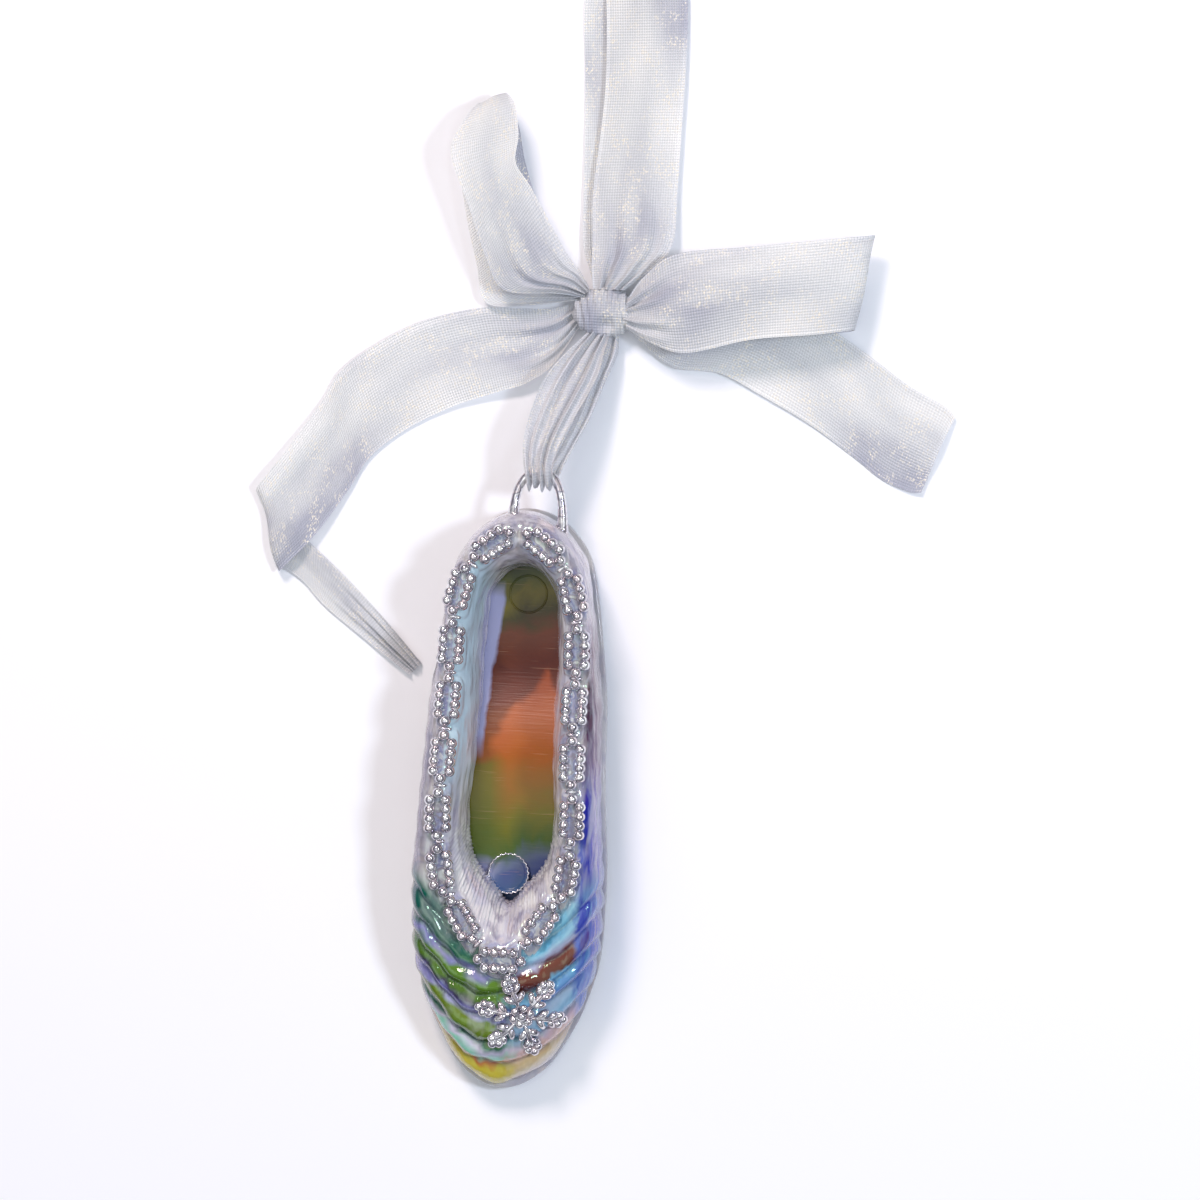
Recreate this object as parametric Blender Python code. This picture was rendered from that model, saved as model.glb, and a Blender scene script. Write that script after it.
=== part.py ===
"""A ballet slipper ornament: one clear moulded slipper with the organza ribbon that it hangs by.

Metres, +Z up. The slipper stands on its sole on the floor z = 0, toe towards -Y and heel
towards +Y, and its bow lies on the same floor behind the heel. "Along" is the distance from
the back of the heel towards the toe, "across" the distance from the centre line.
"""

from collections import namedtuple

import bpy
import numpy as np
from mathutils import Vector
from mathutils.bvhtree import BVHTree

# The last
LENGTH = 0.1000  # heel back to toe tip, along the sole
BALL_WIDTH = 0.0330  # across the widest part of the sole
HEEL_HEIGHT = 0.0172  # collar above the underside of the sole, at the heel
WAIST_HEIGHT = 0.0138  # the same at the waist, where the sole is arched
THROAT_HEIGHT = 0.0158  # the same at the tip of the V
COLLAR_START = 0.0050  # heel back to the middle of the collar
THROAT = 0.0774  # heel back to the tip of the V
BRIM = 0.0050  # from the side of the last in to the middle of the collar
COLLAR_WIDTH = BALL_WIDTH - 2 * BRIM
FLOOR_START = 0.0100  # heel back to the floor of the well
FLOOR_END = 0.0676  # heel back to the point of the floor
FLOOR_WIDTH = 0.0146  # across the floor of the well

# The sole
SOLE_THICKNESS = 0.0024
ARCH_RISE = 0.0046
TOE_SPRING = 0.0010
HEEL_FLAT_END = 0.0220  # heel back to the start of the arch
BALL_FLAT_START = 0.0720  # heel back to the flat under the ball
BALL_FLAT_END = 0.0900  # heel back to the start of the toe spring
EDGE_ROUND = 0.0005  # rounding along the sole's lower edge

# The upper
WALL = 0.0018
SEAM_GAP = 0.0003  # left between the upper and the sole
LIP = 0.0003  # how far the sole stands out beyond the upper
TUCK = 0.0009  # how far the wall leans in at its foot, below its belly
BELLY = 0.40  # height of the widest part of the wall, as a share of the wall's height
WELL_POWER = 2.0  # how square the well wall turns over at the collar: 2 is an ellipse
CAVITY_POWER = 2.4

# Folds of the vamp
FOLD_DEPTH = 0.0008
FOLD_SWEEP = 0.0110  # how much further back a fold is at the sole's edge than on the centre line
FOLD_FADE = 0.0036  # smooth strip along the collar

# Medallions of the collar
MEDALLION_LENGTH = 0.0088
MEDALLION_WIDTH = 0.0056
MEDALLION_RISE = 0.0006
MEDALLIONS_A_SIDE = 8  # and one more at the tip of the V
MEDALLION_CORNERS = 12
MEDALLION_FIELD = 0.6  # its inner part, as a share of its size
MEDALLION_HANG = 0.0010  # how far its edges hang down over the wall, at most
MEDALLION_EDGE = 0.8  # height of its edge, as a share of MEDALLION_RISE

# The snowflake on the vamp
FLAKE_RADIUS = 0.0066
FLAKE_ACROSS = 0.0040
FLAKE_SHARE = 0.868  # heel back to its middle, as a share of LENGTH
FLAKE_TURN = -18.0  # degrees
FLAKE_RISE = 0.0009
FLAKE_ROD = 0.0011
FLAKE_ARMS = 6
FLAKE_TOP = 0.6  # width of a rod's top, as a share of its foot
FLAKE_HUB = 0.0018  # radius of the boss in its middle
HUB_RISE = 1.6  # height of the boss, as a share of FLAKE_RISE
HUB_LAP = 0.7  # where the arms start, as a share of FLAKE_HUB

# The ring for the ribbon
RING_WIDTH = 0.0100
RING_REACH = 0.0070  # behind the heel
RING_BAR = 0.0015
RING_HEIGHT = 0.0110
RING_ACROSS = 0.0025
RING_SQUARE = 0.8  # 1 is an ellipse, less is squarer
RING_ROOT = 0.0012  # how deep its ends run into the wall of the heel

# The ribbon
RIBBON_THICKNESS = 0.0004
KNOT_LENGTH = 0.0078
KNOT_WIDTH = 0.0072
KNOT_HEIGHT = 0.0060
KNOT_ACROSS = 0.0114
KNOT_BACK = 0.0343  # behind the heel
KNOT_POWER = 2.5  # how full the knot is
KNOT_CUT = 0.94  # how far up and down it goes before its flat top and underside
LIFT = 0.0001  # kept between the ribbon and the floor

# How finely the meshes are drawn
COLUMNS = 76
OUTER_ROWS = 17
WELL_ROWS = 4
CAVITY_ROWS = 4
SOLE_STATIONS = 44
SOLE_CUT = 0.02  # share of the way round left off at each end of the sole, which makes its end faces
HUB_CORNERS = 9
RING_STATIONS = 17
RING_CORNERS = 8
KNOT_RINGS = 9
KNOT_CORNERS = 14
DENSE = 240
SHARP = np.radians(50)  # faces that meet at more than this are drawn with an edge

SINK = 0.0009  # how deep raised work runs into the wall below it
DROP = 0.01  # how far above the wall raised work is worked out before it is laid on
NEIGHBOUR = 0.004  # step along the collar that gives its direction

Outline = namedtuple("Outline", "along across")
OUTLINE = [  # shares of LENGTH and of half of BALL_WIDTH
    Outline(0.000, 0.000),
    Outline(0.027, 0.427),
    Outline(0.089, 0.689),
    Outline(0.160, 0.780),
    Outline(0.248, 0.854),
    Outline(0.342, 0.924),
    Outline(0.436, 0.948),
    Outline(0.533, 0.976),
    Outline(0.622, 1.000),
    Outline(0.697, 0.991),
    Outline(0.762, 0.970),
    Outline(0.856, 0.823),
    Outline(0.916, 0.649),
    Outline(0.950, 0.521),
    Outline(0.985, 0.287),
    Outline(1.000, 0.000),
]
COLLAR = [  # shares of the way from COLLAR_START to THROAT, and of half of COLLAR_WIDTH
    Outline(0.000, 0.000),
    Outline(0.028, 0.435),
    Outline(0.083, 0.722),
    Outline(0.141, 0.861),
    Outline(0.268, 0.939),
    Outline(0.398, 0.948),
    Outline(0.525, 0.965),
    Outline(0.657, 1.000),
    Outline(0.786, 0.948),
    Outline(0.843, 0.835),
    Outline(0.909, 0.591),
    Outline(0.967, 0.313),
    Outline(1.000, 0.000),
]
FLOOR = [  # shares of the way from FLOOR_START to FLOOR_END, and of half of FLOOR_WIDTH
    Outline(0.000, 0.000),
    Outline(0.030, 0.500),
    Outline(0.099, 0.795),
    Outline(0.250, 0.877),
    Outline(0.413, 0.877),
    Outline(0.573, 0.918),
    Outline(0.740, 1.000),
    Outline(0.833, 0.959),
    Outline(0.890, 0.760),
    Outline(0.950, 0.370),
    Outline(1.000, 0.000),
]

Rim = namedtuple("Rim", "along heel waist throat")
RIM = [  # how much of each height the collar has, at shares of LENGTH
    Rim(0.000, 1.00, 0.00, 0.00),
    Rim(0.100, 1.00, 0.00, 0.00),
    Rim(0.300, 0.40, 0.60, 0.00),
    Rim(0.500, 0.00, 1.00, 0.00),
    Rim(0.640, 0.00, 0.70, 0.30),
    Rim(0.774, 0.00, 0.00, 1.00),
]

Turn = namedtuple("Turn", "share power")
SHOULDER = [  # how square the outer wall turns over, at shares of the way round the outline
    Turn(0.00, 3.2),
    Turn(0.55, 3.3),
    Turn(0.72, 2.7),
    Turn(0.86, 1.9),
    Turn(1.00, 1.3),
]

Fold = namedtuple("Fold", "along rise")
FOLDS = [  # where each crease crosses the centre line, as a share of LENGTH, and the fold before it
    Fold(0.705, 0.0),
    Fold(0.752, 0.6),
    Fold(0.796, 0.9),
    Fold(0.836, 1.0),
    Fold(0.874, 1.0),
    Fold(0.918, 1.0),
    Fold(0.956, 0.9),
    Fold(1.000, 0.6),
]

Branch = namedtuple("Branch", "at length angle")
BRANCHES = [  # side rods of each arm: place and length as shares of FLAKE_RADIUS, degrees
    Branch(0.46, 0.42, 50.0),
    Branch(0.74, 0.30, 50.0),
]

Strand = namedtuple("Strand", "left_x left_back left_z right_x right_back right_z")
RIBBON_STEP = 0.0010  # the ribbon's tables count in these
LEG_FRONT = [
    Strand(8.6, 30.4, 4.4, 12.6, 30.3, 4.4),
    Strand(5.6, 27.0, 6.0, 12.0, 27.2, 5.8),
    Strand(2.2, 22.1, 8.0, 11.1, 22.6, 7.6),
    Strand(0.1, 15.5, 10.1, 8.0, 15.9, 9.9),
    Strand(-0.6, 11.0, 11.4, 5.8, 11.2, 11.3),
    Strand(-0.4, 7.7, 12.0, 4.8, 7.8, 12.0),
]
LEG_BACK = [
    Strand(9.6, 30.4, 2.4, 14.0, 30.6, 2.4),
    Strand(7.0, 27.0, 3.8, 14.0, 27.2, 3.8),
    Strand(5.2, 22.3, 5.6, 12.5, 22.6, 5.6),
    Strand(3.6, 15.7, 7.8, 10.4, 16.0, 7.8),
    Strand(2.4, 11.0, 9.2, 8.2, 11.2, 9.2),
    Strand(0.8, 7.7, 9.8, 6.6, 7.8, 9.8),
]
HANGER = [
    Strand(9.4, 38.2, 4.8, 14.8, 38.2, 4.8),
    Strand(9.0, 41.5, 4.8, 19.0, 41.8, 4.6),
    Strand(8.8, 46.0, 4.0, 22.6, 46.5, 3.6),
    Strand(8.4, 55.1, 2.8, 22.9, 55.8, 2.2),
    Strand(9.2, 65.5, 2.0, 23.1, 66.1, 1.7),
    Strand(9.6, 75.8, 1.6, 23.3, 76.5, 1.6),
    Strand(9.0, 87.8, 1.5, 23.1, 88.5, 1.5),
    Strand(8.0, 96.0, 1.4, 22.0, 96.2, 1.4),
    Strand(7.4, 96.6, 0.9, 21.2, 96.8, 0.9),
    Strand(6.8, 96.0, 0.4, 20.5, 96.2, 0.4),
    Strand(5.2, 87.6, 0.4, 18.6, 88.2, 0.4),
    Strand(5.8, 75.6, 0.4, 17.6, 76.1, 0.4),
    Strand(6.3, 65.3, 0.5, 17.6, 65.8, 0.5),
    Strand(6.6, 55.0, 0.7, 18.4, 55.5, 0.6),
    Strand(7.0, 46.0, 1.4, 19.0, 46.5, 1.2),
    Strand(8.4, 41.5, 2.2, 16.8, 41.8, 2.0),
    Strand(9.6, 38.2, 2.6, 14.0, 38.2, 2.6),
]
LOOP_LEFT = [
    Strand(7.4, 36.6, 5.0, 8.8, 38.4, 5.0),
    Strand(3.0, 37.0, 6.4, 7.4, 40.8, 6.0),
    Strand(-5.6, 37.2, 7.8, 4.6, 44.4, 7.2),
    Strand(-9.0, 43.0, 9.2, -1.6, 54.8, 8.4),
    Strand(-12.3, 51.5, 9.8, -4.5, 59.1, 9.0),
    Strand(-15.8, 60.3, 9.2, -4.3, 63.8, 8.8),
    Strand(-14.0, 66.0, 8.0, -5.2, 69.0, 8.0),
    Strand(-12.2, 69.0, 6.2, -7.0, 71.2, 6.2),
    Strand(-12.4, 68.2, 4.4, -7.0, 70.6, 4.4),
    Strand(-15.0, 61.0, 3.6, -4.8, 65.5, 3.6),
    Strand(-13.4, 50.5, 3.0, -3.6, 60.0, 3.4),
    Strand(-11.2, 41.8, 2.6, -1.0, 52.5, 3.2),
    Strand(-9.1, 35.0, 2.6, 3.6, 42.5, 3.2),
    Strand(-1.0, 35.0, 3.4, 6.6, 39.6, 3.6),
    Strand(7.2, 36.2, 3.8, 8.4, 38.0, 3.8),
]
TAIL_LEFT = [
    Strand(7.0, 36.0, 2.2, 7.2, 31.8, 2.2),
    Strand(2.0, 34.6, 1.6, 3.0, 25.0, 2.0),
    Strand(-4.0, 34.4, 1.0, -1.6, 21.5, 1.8),
    Strand(-10.4, 34.2, 0.8, -6.0, 20.0, 1.4),
    Strand(-20.4, 31.4, 1.2, -14.1, 17.1, 0.8),
    Strand(-28.5, 26.8, 1.4, -22.3, 12.7, 0.6),
    Strand(-34.2, 22.2, 1.0, -28.4, 7.6, 0.6),
    Strand(-37.2, 16.8, 0.8, -31.9, 1.7, 0.8),
    Strand(-42.6, 8.6, 1.8, -37.1, -6.2, 1.8),
    Strand(-46.6, 2.8, 2.8, -42.0, -11.8, 2.8),
    Strand(-47.7, 1.0, 1.8, -43.2, -13.0, 1.8),
    Strand(-47.0, 0.6, 0.6, -42.6, -12.4, 0.6),
    Strand(-41.2, -5.0, 0.6, -39.0, -14.5, 0.6),
    Strand(-31.5, -13.4, 1.0, -34.5, -19.0, 0.6),
    Strand(-23.2, -21.5, 1.2, -26.2, -25.0, 0.6),
    Strand(-17.6, -27.6, 1.0, -19.6, -29.6, 0.6),
]
LOOP_RIGHT = [
    Strand(15.4, 37.0, 5.2, 15.6, 31.6, 5.2),
    Strand(18.0, 40.5, 6.6, 20.0, 29.2, 6.6),
    Strand(23.6, 44.6, 8.4, 26.2, 27.8, 7.8),
    Strand(36.1, 46.3, 9.8, 37.2, 30.5, 8.8),
    Strand(48.4, 48.0, 9.2, 47.5, 31.8, 8.4),
    Strand(55.2, 49.0, 8.0, 53.0, 32.7, 7.4),
    Strand(57.6, 49.4, 6.0, 55.0, 33.1, 5.6),
    Strand(56.0, 48.8, 4.0, 53.4, 32.7, 3.8),
    Strand(47.0, 47.4, 3.2, 46.2, 32.0, 3.4),
    Strand(36.1, 45.5, 3.0, 37.0, 31.2, 3.6),
    Strand(25.0, 43.0, 3.2, 26.8, 30.0, 3.6),
    Strand(18.2, 39.0, 3.6, 19.6, 30.8, 3.8),
    Strand(15.4, 36.6, 3.8, 15.6, 32.2, 3.8),
]
TAIL_RIGHT = [
    Strand(15.3, 36.2, 2.2, 15.5, 31.6, 2.2),
    Strand(19.0, 37.2, 1.6, 19.0, 28.6, 2.0),
    Strand(27.0, 38.4, 1.0, 24.0, 25.4, 1.8),
    Strand(37.5, 38.5, 0.8, 31.6, 24.8, 1.4),
    Strand(44.5, 37.2, 1.0, 39.2, 21.2, 1.0),
    Strand(51.2, 32.9, 1.4, 47.9, 16.5, 0.8),
    Strand(58.6, 28.0, 1.2, 55.2, 11.5, 0.6),
    Strand(64.4, 24.0, 0.8, 60.4, 7.8, 0.8),
    Strand(70.6, 20.8, 0.8, 65.0, 6.0, 1.0),
    Strand(72.4, 19.0, 1.2, 67.2, 5.8, 1.2),
]


def smooth(at, places, values):
    """Value at each place of a smooth curve through the rows, level at its highs and lows."""
    places, values = np.array(places, float), np.array(values, float)
    step = np.diff(places)
    rise = np.diff(values) / step
    slope = np.zeros(len(places))
    same = np.flatnonzero(rise[:-1] * rise[1:] > 0)
    slope[same + 1] = 2 / (1 / rise[same] + 1 / rise[same + 1])
    slope[0], slope[-1] = rise[0], rise[-1]
    at = np.clip(at, places[0], places[-1])
    k = np.clip(np.searchsorted(places, at, side="right") - 1, 0, len(step) - 1)
    t = (at - places[k]) / step[k]
    start, end = values[k], values[k + 1]
    pull_in, pull_out = slope[k] * step[k], slope[k + 1] * step[k]
    return (
        start * (1 + 2 * t) * (1 - t) ** 2
        + pull_in * t * (1 - t) ** 2
        + end * t**2 * (3 - 2 * t)
        - pull_out * t**2 * (1 - t)
    )


def half_width(rows, share):
    """Half width of an outline, as a share: smooth in its square, so that both ends are round."""
    return np.sqrt(
        np.maximum(
            smooth(share, [r.along for r in rows], [r.across**2 for r in rows]), 0
        )
    )


def plan_curve(rows, start, end, width):
    """Half an outline from heel to toe as (share of its own length, across, along)."""
    share = (1 - np.cos(np.pi * np.linspace(0, 1, 2 * DENSE))) / 2
    along = start + share * (end - start)
    across = half_width(rows, share) * width / 2
    length = np.concatenate(
        [[0], np.cumsum(np.hypot(np.diff(across), np.diff(along)))]
    )
    return length / length[-1], across, along


def on_plan(curve, share):
    """Points (across, along) at shares of a plan curve's length."""
    return np.stack(
        [np.interp(share, curve[0], curve[1]), np.interp(share, curve[0], curve[2])], -1
    )


def ease(t):
    """0 to 1 with level ends."""
    t = np.clip(t, 0, 1)
    return t * t * (3 - 2 * t)


def underside(along):
    """Height of the sole's underside: two flats, the arch between them and the toe spring."""
    middle = (HEEL_FLAT_END + BALL_FLAT_START) / 2
    up = ease((along - HEEL_FLAT_END) / (middle - HEEL_FLAT_END))
    down = ease((BALL_FLAT_START - along) / (BALL_FLAT_START - middle))
    spring = np.clip((along - BALL_FLAT_END) / (LENGTH - BALL_FLAT_END), 0, 1)
    return ARCH_RISE * np.minimum(up, down) + TOE_SPRING * spring**2


def collar_height(along):
    """Height of the collar above the floor."""
    places = [r.along for r in RIM]
    parts = (
        (HEEL_HEIGHT, [r.heel for r in RIM]),
        (WAIST_HEIGHT, [r.waist for r in RIM]),
        (THROAT_HEIGHT, [r.throat for r in RIM]),
    )
    own = sum(height * smooth(along / LENGTH, places, share) for height, share in parts)
    return underside(along) + own


def heel_y():
    """Row place of the heel's back, which puts slipper and ring together about the origin."""
    return (LENGTH - RING_REACH) / 2


OUTER = plan_curve(OUTLINE, LIP, LENGTH - LIP, BALL_WIDTH - 2 * LIP)
RIM_LINE = plan_curve(COLLAR, COLLAR_START, THROAT, COLLAR_WIDTH)
WELL = plan_curve(FLOOR, FLOOR_START, FLOOR_END, FLOOR_WIDTH)


def sections(share, inset, well_power):
    """The wall's sections at shares of the way round, as two arrays of points (across, along, height).

    The first runs from the foot of the outer wall up to the collar, the second from there down
    the well wall. Both turn over as a superellipse. inset moves them that far into the wall.
    """
    outer, rim, well = (on_plan(c, share)[:, None] for c in (OUTER, RIM_LINE, WELL))
    turn = np.linspace(0, np.pi / 2, DENSE)[None, :]
    power = smooth(share, [r.share for r in SHOULDER], [r.power for r in SHOULDER])
    power = power[:, None]
    inwards = 1 - np.cos(turn) ** (2 / power)
    upwards = np.sin(turn) ** (2 / power)
    reach = np.linalg.norm(rim - outer, axis=-1)
    lean = TUCK * (1 - np.minimum(upwards / BELLY, 1)) ** 2
    depth = np.minimum(inset + inwards * (reach - inset) + lean, reach)
    plan = outer + (rim - outer) * (depth / reach)[..., None]
    crest = collar_height(rim[..., 1]) - inset
    foot = underside(plan[:, :1, 1]) + SOLE_THICKNESS + SEAM_GAP
    wall = np.dstack([plan, foot + upwards * (crest - foot)])

    inwards = np.sin(turn) ** (2 / well_power)
    upwards = np.cos(turn) ** (2 / well_power)
    reach = np.linalg.norm(well - rim, axis=-1)
    plan = rim + (well - rim) * (inwards * (1 - inset / reach))[..., None]
    foot = underside(plan[:, -1:, 1]) + SOLE_THICKNESS + SEAM_GAP
    inner = np.dstack([plan, foot + upwards * (crest - foot)])
    return wall, inner


def spaced(curves, rows):
    """Each curve's points moved to even steps along it."""
    gone = np.cumsum(np.linalg.norm(np.diff(curves, axis=1), axis=-1), axis=1)
    gone = np.concatenate([np.zeros((len(curves), 1)), gone], axis=1)
    out = np.empty((len(curves), rows, 3))
    for i, curve in enumerate(curves):
        marks = np.linspace(0, gone[i, -1], rows)
        for k in range(3):
            out[i, :, k] = np.interp(marks, gone[i], curve[:, k])
    return out


def fold_relief(across, along):
    """Rise of the draped folds: a row of rounded ridges with a crease between each two."""
    edge = half_width(OUTLINE, np.clip(along / LENGTH, 0, 1)) * BALL_WIDTH / 2
    swept = along + FOLD_SWEEP * np.clip(across / np.maximum(edge, 0.001), -1, 1) ** 2
    creases = np.array([f.along for f in FOLDS]) * LENGTH
    rises = np.array([f.rise for f in FOLDS])
    k = np.clip(np.searchsorted(creases, swept, side="right"), 1, len(FOLDS) - 1)
    t = np.clip((swept - creases[k - 1]) / (creases[k] - creases[k - 1]), 0, 1)
    return FOLD_DEPTH * rises[k] * np.sqrt(np.sin(np.pi * t))


def to_row(points, side):
    """Points (across, along, height) of one side as row coordinates."""
    row = np.empty_like(points)
    row[..., 0] = points[..., 0] * side
    row[..., 1] = heel_y() - points[..., 1]
    row[..., 2] = points[..., 2]
    return row


def wall_grid():
    """Points of the whole upper, a ring of columns round the last by a ring of rows round the wall."""
    turn = 2 * np.arange(COLUMNS) / COLUMNS
    share = np.where(turn <= 1, turn, 2 - turn)
    side = np.where(turn <= 1, 1.0, -1.0)[:, None]
    wall, inner = sections(share, 0.0, WELL_POWER)
    wall, inner = spaced(wall, OUTER_ROWS), spaced(inner, WELL_ROWS + 1)[:, 1:]
    from_collar = np.linalg.norm(wall - wall[:, -1:], axis=-1)
    rise = fold_relief(wall[..., 0], wall[..., 1]) * ease(from_collar / FOLD_FADE - 0.5)
    outside = to_row(wall, side)
    round_it = np.roll(outside, -1, axis=0) - np.roll(outside, 1, axis=0)
    up_it = np.gradient(outside, axis=1)
    normal = np.cross(round_it, up_it)
    normal /= np.linalg.norm(normal, axis=-1, keepdims=True)
    outwards = np.sign((normal[..., 0] * side).sum())
    normal[:, 0] *= (1, 1, 0)  # the foot stays on its plane
    outside += outwards * normal * rise[..., None]
    hollow_wall, hollow_inner = sections(share, WALL, CAVITY_POWER)
    hollow_wall = spaced(hollow_wall, CAVITY_ROWS + 2)
    hollow_inner = spaced(hollow_inner, CAVITY_ROWS)[:, 1:]
    hollow = np.concatenate([hollow_wall, hollow_inner], axis=1)[:, ::-1]
    grid = [outside, to_row(inner, side), to_row(hollow, side)]
    return np.concatenate(grid, axis=1)


def ring_faces(columns, rows):
    """Quads of a grid that is closed both ways."""
    quads = []
    for i in range(columns):
        for j in range(rows):
            a, b = i * rows + j, i * rows + (j + 1) % rows
            c, d = ((i + 1) % columns) * rows + (j + 1) % rows, ((i + 1) % columns) * rows + j
            quads.append((a, b, c, d))
    return quads


def tube_faces(stations, corners):
    """Quads of a tube of stations, each a ring of corners, with both ends capped."""
    quads = [tuple(range(corners))[::-1]]
    for i in range(stations - 1):
        for j in range(corners):
            k = (j + 1) % corners
            quads.append(
                (i * corners + j, i * corners + k, (i + 1) * corners + k, (i + 1) * corners + j)
            )
    quads.append(tuple((stations - 1) * corners + j for j in range(corners)))
    return quads


def finish(name, colour, roughness, transmission=0.0):
    """A Principled material."""
    made = bpy.data.materials.new(name)
    made.use_nodes = True
    shader = made.node_tree.nodes["Principled BSDF"]
    shader.inputs["Base Color"].default_value = (*colour, 1.0)
    shader.inputs["Roughness"].default_value = roughness
    shader.inputs["Metallic"].default_value = 0.0
    shader.inputs["Transmission Weight"].default_value = transmission
    made.diffuse_color = (*colour, 1.0)
    return made


def body(name, points, faces, material):
    """An object from points and faces, turned so that its faces point out."""
    mesh = bpy.data.meshes.new(name)
    points = np.asarray(points).reshape(-1, 3)
    mesh.from_pydata(points.tolist(), [], faces)
    mesh.materials.append(material)
    mesh.update()
    mesh.calc_loop_triangles()
    corners = np.array([t.vertices[:] for t in mesh.loop_triangles])
    if np.linalg.det(points[corners]).sum() < 0:
        mesh.flip_normals()
    mesh.shade_smooth()
    mesh.set_sharp_from_angle(angle=SHARP)
    made = bpy.data.objects.new(name, mesh)
    bpy.context.scene.collection.objects.link(made)
    return made


def helper(name, points, faces, material):
    """A shape that is only joined to another, and so isn't drawn by itself."""
    made = body(name, points, faces, material)
    made.hide_render = True
    made.display_type = "WIRE"
    return made


def oval(corners):
    """Unit circle of corners as two arrays."""
    angle = 2 * np.pi * np.arange(corners) / corners
    return np.cos(angle), np.sin(angle)


def dropped(tree, points, down):
    """Points moved along down on to the surface in tree."""
    found = []
    for point in points:
        place = tree.ray_cast(Vector(point) - Vector(down) * DROP, Vector(down))[0]
        found.append(point if place is None else np.array(place))
    return np.array(found)


def medallions(tree, material):
    """Raised oval pads along the collar, whose outer edges hang over it."""
    made = []
    shares = (np.arange(MEDALLIONS_A_SIDE) + 0.5) / (MEDALLIONS_A_SIDE + 0.5)
    spots = [(share, side) for share in shares for side in (1, -1)]
    spots.append((1.0, 1))
    for i, (share, side) in enumerate(spots):
        near = np.clip([share - NEIGHBOUR, share, share + NEIGHBOUR], 0, 1)
        wall, _ = sections(near, 0.0, WELL_POWER)
        crest = to_row(wall[:, -1], side)
        middle = crest[1]
        forward = crest[2] - crest[0]
        if share == 1.0:
            forward = np.array([1.0, 0.0, 0.0])
        forward /= np.linalg.norm(forward)
        outward = np.cross(forward, (0, 0, 1))
        outward /= np.linalg.norm(outward)
        up = np.cross(outward, forward)
        x, y = oval(MEDALLION_CORNERS)
        edge = np.outer(x, forward) * MEDALLION_LENGTH / 2
        edge += np.outer(y, outward) * MEDALLION_WIDTH / 2
        rim = dropped(tree, middle + edge, -up)
        hang = np.minimum((middle + edge - rim) @ up, MEDALLION_HANG)
        rim = middle + edge - np.outer(hang, up)
        field = dropped(tree, middle + edge * MEDALLION_FIELD, -up)
        centre = dropped(tree, [middle], -up)
        points = np.concatenate(
            [
                centre - up * SINK,
                field - up * SINK,
                rim - up * SINK,
                rim + up * MEDALLION_RISE * MEDALLION_EDGE,
                field + up * MEDALLION_RISE,
                centre + up * MEDALLION_RISE,
            ]
        )
        n = MEDALLION_CORNERS
        faces = [(0, 1 + (j + 1) % n, 1 + j) for j in range(n)]
        for level in range(3):
            low, high = 1 + level * n, 1 + (level + 1) * n
            faces += [(low + j, low + (j + 1) % n, high + (j + 1) % n, high + j) for j in range(n)]
        faces += [(1 + 3 * n + j, 1 + 3 * n + (j + 1) % n, 1 + 4 * n) for j in range(n)]
        made.append(helper(f"medallion_{i:02d}", points, faces, material))
    return made


def rod(tree, name, start, end, up, material):
    """A raised rod on the vamp from start to end, two places in the snowflake's own plane."""
    line = np.linspace(start, end, 3)
    heading = (line[-1] - line[0]) / np.linalg.norm(line[-1] - line[0])
    beside = np.cross(up, heading) * FLAKE_ROD / 2
    on = dropped(tree, line, -up)
    top = beside * FLAKE_TOP
    corners = [on - beside - up * SINK, on + beside - up * SINK]
    corners += [on + top + up * FLAKE_RISE, on - top + up * FLAKE_RISE]
    return helper(name, np.stack(corners, axis=1), tube_faces(3, 4), material)


def boss(tree, name, middle, directions, material):
    """The snowflake's round middle, a low cone on the vamp."""
    right, ahead, up = directions
    corners = HUB_CORNERS
    c, s = oval(corners)
    edge = middle + (np.outer(c, right) + np.outer(s, ahead)) * FLAKE_HUB
    on = dropped(tree, edge, -up)
    top = middle + up * FLAKE_RISE * HUB_RISE
    points = np.concatenate([on - up * SINK, on + up * FLAKE_RISE, [top]])
    faces = [tuple(range(corners))[::-1]]
    for j in range(corners):
        k = (j + 1) % corners
        faces.append((j, k, corners + k, corners + j))
        faces.append((corners + j, corners + k, 2 * corners))
    return helper(name, points, faces, material)


def snowflake(tree, material):
    """Six arms of a spine and two pairs of side rods."""
    middle = np.array([FLAKE_ACROSS, heel_y() - FLAKE_SHARE * LENGTH, 0.0])
    found, normal, _, _ = tree.ray_cast(Vector((*middle[:2], HEEL_HEIGHT + DROP)), Vector((0, 0, -1)))
    middle, up = np.array(found), np.array(normal)
    up = up / np.linalg.norm(up) * np.sign(up[2])
    ahead = np.cross(up, (1.0, 0.0, 0.0))
    ahead /= np.linalg.norm(ahead)
    right = np.cross(ahead, up)
    made = [boss(tree, "flake_hub", middle, (right, ahead, up), material)]
    for k in range(FLAKE_ARMS):
        angle = np.radians(FLAKE_TURN + k * 360 / FLAKE_ARMS)
        spine = right * np.sin(angle) + ahead * np.cos(angle)
        side = right * np.cos(angle) - ahead * np.sin(angle)
        start = middle + spine * FLAKE_HUB * HUB_LAP
        tip = middle + spine * FLAKE_RADIUS
        made.append(rod(tree, f"flake_arm_{k}", start, tip, up, material))
        for branch in BRANCHES:
            root = middle + spine * FLAKE_RADIUS * branch.at
            lean = np.radians(branch.angle)
            for way in (1, -1):
                out = spine * np.cos(lean) + side * way * np.sin(lean)
                end = root + out * FLAKE_RADIUS * branch.length
                name = f"flake_rod_{k}_{len(made)}"
                made.append(rod(tree, name, root, end, up, material))
    return made


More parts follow.
